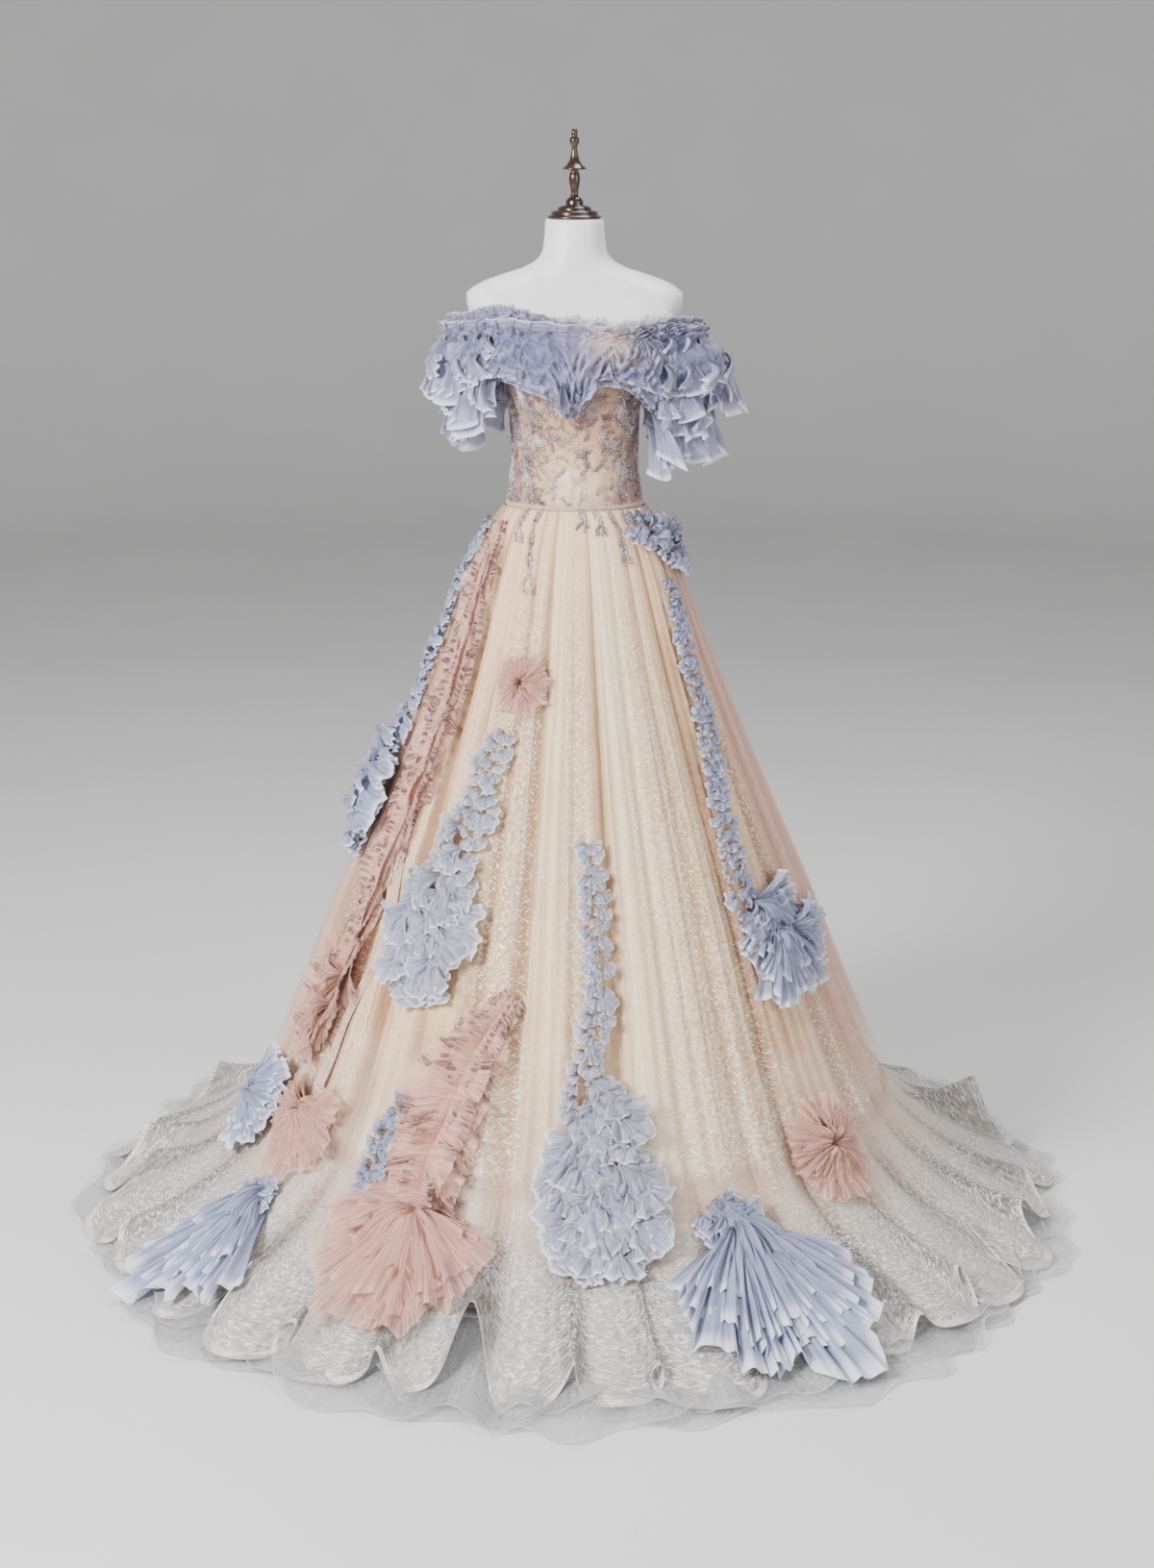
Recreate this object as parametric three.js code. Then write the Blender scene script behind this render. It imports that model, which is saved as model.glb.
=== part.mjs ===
// Ball gown on a white limbless dress form. Millimetres, +Z up, the front faces -Y.
// The origin is in the middle of the underside of the stand's base, on the floor.
// Left is -X and right is +X, as seen from the front. Angles are in degrees, 0 the front, 90 the right.
import * as THREE from 'three';

// Cloth and clearances
const CLOTH = 2;
const SEAM = 0.3;
const FORM_CLEAR = 0.5;
const RUFFLE_SEAT = 0.9;

// Heights of the main lines of the gown
const WAIST_BAND = { top: 1236, bottom: 1228 };
const NECKLINE = 1500;
const FLOUNCE_SEAM = 190;
const HEM_REST = 2.6;

// Body of the dress form: half width, depth to the front and back, and the squareness of the outline
const FORM = [
  { z: 1000, side: 150, front: 96, back: 108, square: 2 },
  { z: 1060, side: 150, front: 98, back: 112, square: 2 },
  { z: 1120, side: 144, front: 96, back: 108, square: 2 },
  { z: 1180, side: 126, front: 89, back: 90, square: 2 },
  { z: 1228, side: 112, front: 85, back: 78, square: 2 },
  { z: 1265, side: 106, front: 83, back: 78, square: 2 },
  { z: 1298, side: 102.5, front: 84, back: 80, square: 2 },
  { z: 1350, side: 103.5, front: 92, back: 86, square: 2.05 },
  { z: 1394, side: 106, front: 105, back: 90, square: 2.1 },
  { z: 1430, side: 114, front: 113, back: 94, square: 2.15 },
  { z: 1460, side: 127, front: 110, back: 96, square: 2.2 },
  { z: 1500, side: 155, front: 98, back: 96, square: 2.5 },
  { z: 1540, side: 172, front: 82, back: 86, square: 3 },
  { z: 1573, side: 177, front: 64, back: 68, square: 3.2 },
  { z: 1589, side: 158, front: 58, back: 61, square: 2.6 },
  { z: 1605, side: 116, front: 54, back: 56, square: 2.2 },
  { z: 1620, side: 72, front: 51, back: 53, square: 2 },
  { z: 1642, side: 52, front: 48, back: 50, square: 2 },
  { z: 1692, side: 47, front: 45, back: 46, square: 2 },
];
const FORM_SIDES = 32;

// Outside of skirt and flounce, over the crests of their folds
const GOWN = [
  { z: HEM_REST, side: 862, front: 860, back: 868 },
  { z: 66, side: 730, front: 724, back: 738 },
  { z: 130, side: 628, front: 622, back: 640 },
  { z: FLOUNCE_SEAM, side: 563, front: 557, back: 579 },
  { z: 600, side: 381.5, front: 355, back: 379 },
  { z: 1000, side: 219, front: 182, back: 201 },
  { z: 1150, side: 163.5, front: 125, back: 134 },
  { z: 1196, side: 141, front: 106, back: 105 },
  { z: WAIST_BAND.bottom - SEAM, side: 117.5, front: 90.5, back: 84 },
];

// Organ folds that run on into the flutes of the hem: the angle of each valley, its depth at the
// flounce seam and its depth at the hem
const FOLDS = [
  { valley: -84, skirt: 20, hem: 110 },
  { valley: -71, skirt: 22, hem: 120 },
  { valley: -58, skirt: 20, hem: 110 },
  { valley: -46, skirt: 22, hem: 120 },
  { valley: -34, skirt: 20, hem: 125 },
  { valley: -22, skirt: 22, hem: 105 },
  { valley: -12, skirt: 18, hem: 115 },
  { valley: 0, skirt: 27, hem: 70 },
  { valley: 9, skirt: 18, hem: 150 },
  { valley: 21, skirt: 23, hem: 100 },
  { valley: 32, skirt: 20, hem: 85 },
  { valley: 42, skirt: 18, hem: 100 },
  { valley: 52, skirt: 20, hem: 110 },
  { valley: 62, skirt: 18, hem: 110 },
  { valley: 74, skirt: 22, hem: 120 },
  { valley: 86, skirt: 20, hem: 125 },
  { valley: 99, skirt: 22, hem: 130 },
  { valley: 112, skirt: 24, hem: 120 },
  { valley: 125, skirt: 22, hem: 130 },
  { valley: 138, skirt: 24, hem: 120 },
  { valley: 151, skirt: 24, hem: 135 },
  { valley: 164, skirt: 22, hem: 120 },
  { valley: 177, skirt: 26, hem: 135 },
  { valley: 190, skirt: 22, hem: 120 },
  { valley: 203, skirt: 24, hem: 130 },
  { valley: 216, skirt: 22, hem: 120 },
  { valley: 229, skirt: 24, hem: 130 },
  { valley: 242, skirt: 22, hem: 120 },
  { valley: 255, skirt: 22, hem: 110 },
  { valley: 266, skirt: 18, hem: 90 },
];
// Share of a fold's full depth at each height
const FOLD_GROWTH = [
  { z: FLOUNCE_SEAM, share: 1 },
  { z: 600, share: 0.78 },
  { z: 1000, share: 0.42 },
  { z: 1196, share: 0.14 },
  { z: WAIST_BAND.bottom, share: 0.04 },
];
const FLUTE_LIFT = 38;
const FLUTE_POWER = 1.4;
// Places along one fold where the wall has its points, and how round its crest is
const FOLD_STEPS = [0, 0.14, 0.36, 0.64, 0.86];
const CREST_STEP = 0.36;
const CREST_POWER = 0.8;

// Skirt gores and lengths of flounce, each from one valley to another
const GORES = [
  { name: 'gore_front_left', from: -46, to: -12 },
  { name: 'gore_front_centre', from: -12, to: 32 },
  { name: 'gore_front_right', from: 32, to: 74 },
  { name: 'gore_side_right', from: 74, to: 125 },
  { name: 'gore_back_right', from: 125, to: 177 },
  { name: 'gore_back_left', from: 177, to: 229 },
  { name: 'gore_side_left_back', from: 229, to: 276 },
  { name: 'gore_side_left', from: 276, to: 314 },
];
const FLOUNCES = [
  { name: 'flounce_front', from: -34, to: 21 },
  { name: 'flounce_right', from: 21, to: 86 },
  { name: 'flounce_back_right', from: 86, to: 138 },
  { name: 'flounce_back', from: 138, to: 203 },
  { name: 'flounce_back_left', from: 203, to: 266 },
  { name: 'flounce_left', from: 266, to: 326 },
];

// Soft edge of the underskirt, flat on the floor past the hem
const UNDERSKIRT = [
  { name: 'underskirt_front', from: -45, to: 45 },
  { name: 'underskirt_right', from: 45, to: 135 },
  { name: 'underskirt_back', from: 135, to: 225 },
  { name: 'underskirt_left', from: 225, to: 315 },
];
const UNDERSKIRT_ROWS = [
  { radius: 606, base: 50, scallop: 0 },
  { radius: 690, base: 0, scallop: 0 },
  { radius: 852, base: 0, scallop: 1 },
];
const UNDERSKIRT_STEPS = 12;
const SCALLOP_DEPTH = 30;

// Bodice panels between the waist band and the neckline
const BODICE = [
  { name: 'bodice_front', from: -45, to: 45 },
  { name: 'bodice_side_right', from: 45, to: 112.5 },
  { name: 'bodice_back_right', from: 112.5, to: 180 },
  { name: 'bodice_back_left', from: 180, to: 247.5 },
  { name: 'bodice_side_left', from: 247.5, to: 315 },
];
const BODICE_ROWS = [NECKLINE, 1460, 1430, 1394, 1350, 1298, 1265, WAIST_BAND.top + SEAM];
const PLACKET = { half: 5, top: 1466, bottom: 1246, cloth: 1.2 };
const BUTTON = { count: 6, radius: 4.5, thick: 2.4, first: 1258, last: 1428 };

// Draped collar all round: heights of its edges, and how far its stitched line and its fall stand off
const COLLAR = [
  { at: -180, top: 1518, bottom: 1440, root: 3.3, out: 20 },
  { at: -150, top: 1518, bottom: 1436, root: 3.3, out: 22 },
  { at: -125, top: 1522, bottom: 1432, root: 6, out: 36 },
  { at: -105, top: 1526, bottom: 1430, root: 36, out: 68 },
  { at: -90, top: 1528, bottom: 1430, root: 48, out: 88 },
  { at: -75, top: 1532, bottom: 1438, root: 38, out: 80 },
  { at: -60, top: 1540, bottom: 1452, root: 10, out: 50 },
  { at: -45, top: 1548, bottom: 1448, root: 3.3, out: 34 },
  { at: -30, top: 1548, bottom: 1436, root: 3.3, out: 30 },
  { at: -15, top: 1542, bottom: 1420, root: 3.3, out: 26 },
  { at: -4, top: 1534, bottom: 1388, root: 3.3, out: 22 },
  { at: 6, top: 1526, bottom: 1412, root: 3.3, out: 20 },
  { at: 16, top: 1520, bottom: 1446, root: 3.3, out: 18 },
  { at: 32, top: 1530, bottom: 1440, root: 3.3, out: 24 },
  { at: 48, top: 1532, bottom: 1412, root: 3.3, out: 36 },
  { at: 62, top: 1530, bottom: 1384, root: 12, out: 56 },
  { at: 76, top: 1526, bottom: 1402, root: 38, out: 92 },
  { at: 90, top: 1522, bottom: 1430, root: 48, out: 106 },
  { at: 105, top: 1522, bottom: 1430, root: 36, out: 78 },
  { at: 125, top: 1520, bottom: 1432, root: 6, out: 38 },
  { at: 150, top: 1518, bottom: 1436, root: 3.3, out: 22 },
  { at: 180, top: 1518, bottom: 1440, root: 3.3, out: 20 },
];
const COLLAR_PARTS = [
  { name: 'collar_front_left', from: -90, to: 6, steps: 24 },
  { name: 'collar_front_right', from: 6, to: 90, steps: 21 },
  { name: 'collar_back_right', from: 90, to: 180, steps: 15 },
  { name: 'collar_back_left', from: -180, to: -90, steps: 15 },
];
// Lines down the collar: height as a share of the way from the neckline to an edge, -1 at the top edge and
// 1 at the bottom edge, then shares of the stand-off, and the depth of the waves
const COLLAR_ROWS = [
  { down: -1, root: 0.3, out: 0.12, wave: 4 },
  { down: 0, root: 1, out: 0, wave: 0 },
  { down: 0.3, root: 0.4, out: 0.72, wave: 4 },
  { down: 0.65, root: 0.2, out: 0.95, wave: 5 },
  { down: 1, root: 0.2, out: 0.8, wave: 6 },
];
const COLLAR_WAVE = 12;
const COLLAR_CREST = 6;
const COLLAR_SEAM = 0.6;

// Frilled sleeves, each a loop that stands clear of the form: the angles that each frill covers, the height
// of its lower edge, and its gap below the collar
const SLEEVES = [
  { name: 'sleeve_left_back', from: -128, to: -106, bottom: 1342, gap: 0.7 },
  { name: 'sleeve_left_outer', from: -106, to: -78, bottom: 1326, gap: 0.7 },
  { name: 'sleeve_left_front', from: -78, to: -56, bottom: 1318, gap: 0.7 },
  { name: 'sleeve_right_front', from: 56, to: 78, bottom: 1322, gap: 1.2 },
  { name: 'sleeve_right_outer', from: 78, to: 106, bottom: 1322, gap: 0.8 },
  { name: 'sleeve_right_back', from: 106, to: 128, bottom: 1342, gap: 0.7 },
];
const SLEEVE_STEPS = 8;
const SLEEVE_ROWS = [
  { down: 0, out: 0, wave: 0 },
  { down: 0.3, out: 12, wave: 4 },
  { down: 0.68, out: 9, wave: 6 },
  { down: 1, out: 0, wave: 7 },
];

// Applied ruffles: how far the stitching sinks between two flutes, then the line of stitching by angle and
// height, the half width, and the height of the frills
const RIBBONS = [
  { name: 'ruffle_edge_blue', rows: 20, sink: 0, line: [
    { at: -86, z: 1200, half: 14, high: 12 },
    { at: -86, z: 1070, half: 20, high: 22 },
    { at: -85, z: 950, half: 24, high: 34 },
    { at: -85, z: 870, half: 32, high: 40 },
    { at: -84, z: 790, half: 56, high: 56 },
    { at: -83, z: 690, half: 50, high: 52 },
    { at: -82, z: 640, half: 22, high: 14 },
  ] },
  { name: 'ruche_side_pink', rows: 24, sink: 0, line: [
    { at: -62, z: 1206, half: 16, high: 10 },
    { at: -58, z: 1170, half: 24, high: 14 },
    { at: -57, z: 1086, half: 34, high: 20 },
    { at: -55, z: 963, half: 42, high: 24 },
    { at: -56, z: 839, half: 46, high: 24 },
    { at: -58, z: 700, half: 42, high: 24 },
    { at: -60, z: 540, half: 42, high: 26 },
    { at: -62, z: 450, half: 72, high: 40 },
    { at: -65, z: 370, half: 66, high: 36 },
    { at: -67, z: 326, half: 30, high: 12 },
  ] },
  { name: 'ruche_white_blue', rows: 17, sink: 0, line: [
    { at: -25, z: 884, half: 14, high: 10 },
    { at: -28, z: 830, half: 28, high: 18 },
    { at: -31, z: 738, half: 32, high: 22 },
    { at: -34, z: 672, half: 40, high: 26 },
    { at: -36, z: 630, half: 68, high: 38 },
    { at: -36, z: 540, half: 70, high: 38 },
    { at: -35, z: 474, half: 28, high: 12 },
  ] },
  { name: 'ruche_front_pink', rows: 21, sink: 0, line: [
    { at: -13, z: 496, half: 22, high: 12 },
    { at: -17, z: 455, half: 46, high: 24 },
    { at: -20.6, z: 400, half: 64, high: 30 },
    { at: -23.6, z: 321, half: 72, high: 32 },
    { at: -26, z: 236, half: 88, high: 36 },
    { at: -25.5, z: 170, half: 116, high: 44 },
    { at: -23.5, z: 110, half: 128, high: 48 },
    { at: -22, z: 60, half: 108, high: 40 },
    { at: -21, z: 30, half: 60, high: 14 },
  ] },
  { name: 'ruffle_centre_blue', rows: 20, sink: 0, line: [
    { at: 3.6, z: 722, half: 8, high: 8 },
    { at: 5, z: 640, half: 17, high: 14 },
    { at: 5, z: 500, half: 20, high: 16 },
    { at: 3, z: 402, half: 28, high: 20 },
    { at: 3, z: 356, half: 50, high: 28 },
    { at: 5, z: 290, half: 66, high: 34 },
    { at: 5, z: 220, half: 88, high: 40 },
    { at: 4, z: 165, half: 76, high: 36 },
    { at: 3.4, z: 126, half: 36, high: 14 },
  ] },
  { name: 'ruffle_right_blue', rows: 20, sink: 0, line: [
    { at: 59, z: 1112, half: 12, high: 8 },
    { at: 57, z: 1055, half: 16, high: 12 },
    { at: 53, z: 887, half: 18, high: 14 },
    { at: 48, z: 770, half: 20, high: 16 },
    { at: 46, z: 621, half: 26, high: 20 },
    { at: 49, z: 575, half: 60, high: 36 },
    { at: 52, z: 515, half: 86, high: 48 },
    { at: 54, z: 450, half: 76, high: 44 },
    { at: 55, z: 410, half: 36, high: 14 },
  ] },
  { name: 'ruffle_waist_blue', rows: 9, sink: 0, line: [
    { at: 38, z: 1208, half: 12, high: 10 },
    { at: 50, z: 1192, half: 28, high: 26 },
    { at: 66, z: 1170, half: 36, high: 32 },
    { at: 80, z: 1146, half: 30, high: 26 },
    { at: 86, z: 1132, half: 16, high: 12 },
  ] },
  { name: 'fan_left_blue', rows: 8, sink: 0, line: [
    { at: -60, z: 144, half: 24, high: 14 },
    { at: -57, z: 112, half: 36, high: 28 },
    { at: -53, z: 70, half: 54, high: 34 },
    { at: -50, z: 30, half: 64, high: 20 },
  ] },
  { name: 'fan_right_blue', rows: 10, sink: 1.3, line: [
    { at: 21, z: 184, half: 26, high: 16 },
    { at: 23, z: 150, half: 48, high: 36 },
    { at: 24.5, z: 90, half: 76, high: 44 },
    { at: 24.5, z: 46, half: 98, high: 42 },
    { at: 24.5, z: 22, half: 104, high: 22 },
  ] },
];
// Across a ruffle, from one edge over the stitched line to the other: place and height of its points
const RIBBON_ACROSS = [
  { across: -1, lift: 0.5, wave: 0.4 },
  { across: -0.55, lift: 0.9, wave: -0.22 },
  { across: 0, lift: 0, wave: 0 },
  { across: 0.55, lift: 0.9, wave: 0.22 },
  { across: 1, lift: 0.5, wave: -0.4 },
];

// Round gathered rosettes: centre, half width, half height, height of the frills, and how far the middle
// sinks into the valley below it
const ROSETTES = [
  { name: 'rosette_hip_pink', at: -21, z: 959, half: 46, tall: 54, high: 30, sink: 1.6, hue: 'pink' },
  { name: 'rosette_left_pink', at: -54.5, z: 250, half: 62, tall: 80, high: 40, sink: 0, hue: 'pink' },
  { name: 'rosette_left_blue', at: -79, z: 236, half: 84, tall: 96, high: 46, sink: 0, hue: 'blue' },
  { name: 'rosette_right_pink', at: 47.7, z: 236, half: 74, tall: 84, high: 34, sink: 0, hue: 'pink' },
];
const ROSETTE_STEPS = 16;
const ROSETTE_ROWS = [
  { reach: 0.12, lift: 0, wave: 0 },
  { reach: 0.45, lift: 0.75, wave: 0.12 },
  { reach: 0.78, lift: 1, wave: -0.25 },
  { reach: 1, lift: 0.45, wave: 0.4 },
];

// Turned wood: radius and height of each step of the neck cap, finial and base
const NECK_CAP = [[0, 1692.3], [43, 1692.3], [44, 1695], [42, 1698], [37, 1699], [38, 1702], [35, 1705],
  [26, 1706], [27, 1710], [22, 1713], [14, 1714], [14.5, 1720], [11, 1725], [8, 1727], [0, 1727]];
const FINIAL = [[0, 1727.3], [7, 1727.3], [6, 1737], [7, 1742], [9, 1756], [8, 1765], [5, 1769],
  [20, 1771], [14, 1777], [7, 1788], [4.3, 1808], [7.7, 1812], [7.7, 1819], [4, 1821], [5.2, 1828],
  [3.6, 1834], [0, 1835]];
const BASE = [[0, 0], [150, 0], [150, 8], [138, 15], [30, 21], [0, 21]];
const BASE_TOP = 21;
const POLE_RADIUS = 13;
const ROUND_STEPS = 14;

const COLOURS = {
  form: new THREE.MeshStandardMaterial({ color: 0xf4f4f2, roughness: 0.45, metalness: 0 }),
  wood: new THREE.MeshStandardMaterial({ color: 0x2a1a15, roughness: 0.25, metalness: 0 }),
  bodice: new THREE.MeshStandardMaterial({ color: 0xd3b39f, roughness: 0.6, metalness: 0 }),
  skirt: new THREE.MeshStandardMaterial({ color: 0xe6cfba, roughness: 0.7, metalness: 0 }),
  flounce: new THREE.MeshStandardMaterial({ color: 0xb9aca6, roughness: 0.6, metalness: 0 }),
  underskirt: new THREE.MeshStandardMaterial({ color: 0xb7b4b4, roughness: 0.8, metalness: 0 }),
  lavender: new THREE.MeshStandardMaterial({ color: 0x9c9cc8, roughness: 0.75, metalness: 0 }),
  blue: new THREE.MeshStandardMaterial({ color: 0xa3aaca, roughness: 0.75, metalness: 0 }),
  pink: new THREE.MeshStandardMaterial({ color: 0xcaa29b, roughness: 0.75, metalness: 0 }),
};

const group = new THREE.Group();

// Adds one named piece with its own copy of a colour.
function addPiece(name, geometry, colour) {
  const mesh = new THREE.Mesh(geometry, COLOURS[colour].clone());
  mesh.name = name;
  group.add(mesh);
  return mesh;
}

// A row of a table at a value of its key column, straight between the rows on either side.
function rowAt(table, key, value) {
  const last = table.length - 1;
  const rising = table[last][key] > table[0][key];
  let k = 0;
  while (k < last - 1 && (rising ? table[k + 1][key] < value : table[k + 1][key] > value)) {
    k += 1;
  }
  const low = table[k];
  const high = table[k + 1];
  const share = THREE.MathUtils.clamp((value - low[key]) / (high[key] - low[key]), 0, 1);
  const row = {};
  for (const column of Object.keys(low)) {
    row[column] = THREE.MathUtils.lerp(low[column], high[column], share);
  }
  return row;
}

// A point on a rounded outline with its own depth to the front and to the back.
function onOutline(row, at, z, square = 2) {
  const angle = THREE.MathUtils.degToRad(at);
  const bend = (value) => Math.sign(value) * Math.abs(value) ** (2 / square);
  const depth = Math.cos(angle) > 0 ? row.front : row.back;
  return new THREE.Vector3(row.side * bend(Math.sin(angle)), -depth * bend(Math.cos(angle)), z);
}

// A point of the dress form, moved out level by a clearance.
function onForm(at, z, out = 0) {
  const row = rowAt(FORM, 'z', z);
  const point = onOutline(row, at, z, row.square);
  const before = onOutline(row, at - 1, z, row.square);
  const after = onOutline(row, at + 1, z, row.square);
  const along = after.sub(before).normalize();
  return point.add(new THREE.Vector3(along.y, -along.x, 0).multiplyScalar(out));
}

// A point over the crests of the skirt and flounce.
function onGown(at, z) {
  return onOutline(rowAt(GOWN, 'z', z), at, z);
}

// The direction straight out of the crests at a point.
function outOfGown(at, z) {
  const across = onGown(at + 1, z).sub(onGown(at - 1, z));
  const down = onGown(at, z - 4).sub(onGown(at, z + 4));
  return down.cross(across).normalize();
}

// The depth of the folds at an angle, at the flounce seam and at the hem, and how near a valley it is:
// 0 on a crest and 1 in a valley.
function foldAt(at) {
  const first = FOLDS[0].valley;
  const around = first + THREE.MathUtils.euclideanModulo(at - first, 360);
  const k = FOLDS.findLastIndex((fold) => fold.valley <= around);
  const low = FOLDS[k];
  const high = FOLDS[k + 1] ?? { ...FOLDS[0], valley: first + 360 };
  const share = (around - low.valley) / (high.valley - low.valley);
  const rise = Math.sin(Math.PI * share) / Math.sin(Math.PI * CREST_STEP);
  const near = Math.max(0, 1 - rise ** CREST_POWER);
  return {
    near,
    skirt: near * THREE.MathUtils.lerp(low.skirt, high.skirt, share),
    hem: near * THREE.MathUtils.lerp(low.hem, high.hem, share),
  };
}

// A point moved in towards the upright axis.
function towardAxis(point, depth) {
  const radius = Math.hypot(point.x, point.y);
  const share = (radius - depth) / radius;
  return new THREE.Vector3(point.x * share, point.y * share, point.z);
}

// The angles of a wall's points from one valley to another, half a seam's gap in from each end.
function foldAngles(from, to) {
  const gap = THREE.MathUtils.radToDeg(SEAM / 2 / GOWN.at(-1).back);
  const angles = FOLDS.flatMap((fold, k) => {
    const next = FOLDS[k + 1]?.valley ?? FOLDS[0].valley + 360;
    return FOLD_STEPS.map((step) => THREE.MathUtils.lerp(fold.valley, next, step));
  });
  const around = angles.map((at) => (at < from ? at + 360 : at)).sort((a, b) => a - b);
  return [from + gap, ...around.filter((at) => at > from + gap && at < to - gap), to - gap];
}

// Directions out of a grid of points, from the points beside each one.
function gridNormals(grid, wrap) {
  const rows = grid.length;
  const columns = grid[0].length;
  return grid.map((line, i) => line.map((point, j) => {
    const left = wrap ? (j + columns - 1) % columns : Math.max(j - 1, 0);
    const right = wrap ? (j + 1) % columns : Math.min(j + 1, columns - 1);
    const across = grid[i][right].clone().sub(grid[i][left]);
    const down = grid[Math.min(i + 1, rows - 1)][j].clone().sub(grid[Math.max(i - 1, 0)][j]);
    return down.cross(across).normalize();
  }));
}

// A closed wall from a grid of points, lines going down and points going to the right as seen from outside.
// The wall grows outwards for a positive thickness and inwards for a negative one, level at the named lines.
// A grid with spare points has one more at each end of its lines, past the seam, which only turn the wall's
// edges the way its neighbour's turn.
function wallFrom(points, thickness, { wrap = false, level = [], spare = false } = {}) {
  const crop = (lines) => (spare ? lines.map((line) => line.slice(1, -1)) : lines);
  const normals = crop(gridNormals(points, wrap));
  const grid = crop(points);
  const rows = grid.length;
  const columns = grid[0].length;
  const moved = grid.map((line, i) => line.map((point, j) => {
    const normal = normals[i][j];
    if (level.includes(i)) {
      normal.setZ(0).normalize();
    }
    return point.clone().addScaledVector(normal, thickness);
  }));
  const outer = thickness > 0 ? moved : grid;
  const inner = thickness > 0 ? grid : moved;
  const positions = [...outer.flat(), ...inner.flat()].flatMap((point) => point.toArray());
  const out = (i, j) => i * columns + (j % columns);
  const back = (i, j) => rows * columns + out(i, j);
  const faces = [];
  const quad = (a, b, c, d) => faces.push(a, b, c, a, c, d);
  const spans = wrap ? columns : columns - 1;
  for (let j = 0; j < spans; j += 1) {
    for (let i = 0; i < rows - 1; i += 1) {
      faces.push(out(i, j), out(i + 1, j), out(i + 1, j + 1), out(i, j), out(i + 1, j + 1), out(i, j + 1));
      faces.push(back(i, j), back(i + 1, j + 1), back(i + 1, j));
      faces.push(back(i, j), back(i, j + 1), back(i + 1, j + 1));
    }
    quad(out(0, j), out(0, j + 1), back(0, j + 1), back(0, j));
    quad(out(rows - 1, j + 1), out(rows - 1, j), back(rows - 1, j), back(rows - 1, j + 1));
  }
  if (!wrap) {
    const end = columns - 1;
    for (let i = 0; i < rows - 1; i += 1) {
      quad(out(i + 1, 0), out(i, 0), back(i, 0), back(i + 1, 0));
      quad(out(i, end), out(i + 1, end), back(i + 1, end), back(i, end));
    }
  }
  const geometry = new THREE.BufferGeometry();
  geometry.setAttribute('position', new THREE.Float32BufferAttribute(positions, 3));
  geometry.setIndex(faces);
  geometry.computeVertexNormals();
  return geometry;
}

// Evenly spaced values from one end to the other, both included.
function spread(from, to, steps) {
  return Array.from({ length: steps + 1 }, (_, k) => THREE.MathUtils.lerp(from, to, k / steps));
}

// A piece turned about the upright axis.
function latheUp(profile, steps) {
  const geometry = new THREE.LatheGeometry(profile.map(([x, y]) => new THREE.Vector2(x, y)), steps);
  return geometry.rotateX(Math.PI / 2);
}

// The white body of the dress form: rings of points, closed at the underside and at the top of the neck.
function formBody() {
  const rings = [...FORM].reverse().map((row) => (
    spread(0, 360, FORM_SIDES).slice(0, -1).map((at) => onForm(at, row.z))));
  const positions = rings.flat().flatMap((point) => point.toArray());
  const faces = [];
  const point = (i, j) => i * FORM_SIDES + (j % FORM_SIDES);
  for (let j = 0; j < FORM_SIDES; j += 1) {
    for (let i = 0; i < rings.length - 1; i += 1) {
      faces.push(point(i, j), point(i + 1, j), point(i + 1, j + 1));
      faces.push(point(i, j), point(i + 1, j + 1), point(i, j + 1));
    }
  }
  const top = positions.length / 3;
  positions.push(0, 0, FORM.at(-1).z, 0, 0, FORM[0].z);
  for (let j = 0; j < FORM_SIDES; j += 1) {
    faces.push(top, point(0, j), point(0, j + 1));
    faces.push(top + 1, point(rings.length - 1, j + 1), point(rings.length - 1, j));
  }
  const geometry = new THREE.BufferGeometry();
  geometry.setAttribute('position', new THREE.Float32BufferAttribute(positions, 3));
  geometry.setIndex(faces);
  geometry.computeVertexNormals();
  return geometry;
}

function addForm() {
  addPiece('form_body', formBody(), 'form');
  addPiece('neck_cap', latheUp(NECK_CAP, ROUND_STEPS), 'wood');
  addPiece('finial', latheUp(FINIAL, ROUND_STEPS - 4), 'wood');
  addPiece('stand_base', latheUp(BASE, ROUND_STEPS * 2), 'wood');
  const low = BASE_TOP + SEAM;
  const length = FORM[0].z - SEAM - low;
  const pole = new THREE.CylinderGeometry(POLE_RADIUS, POLE_RADIUS, length, ROUND_STEPS);
  addPiece('stand_pole', pole.rotateX(Math.PI / 2), 'wood').position.set(0, 0, low + length / 2);
}

// One panel of the bodice, on the form's own sides so that it follows them.
function bodicePanel(from, to, rows) {
  const gap = THREE.MathUtils.radToDeg(SEAM / 2 / rowAt(FORM, 'z', WAIST_BAND.top).back);
  const inside = spread(-180, 360, FORM_SIDES * 1.5).filter((at) => at > from + 1e-6 && at < to - 1e-6);
  const angles = [from + gap, ...inside, to - gap];
  return wallFrom(rows.map((z) => angles.map((at) => onForm(at, z, FORM_CLEAR))), CLOTH,
    { level: rows.map((_, i) => i) });
}

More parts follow.
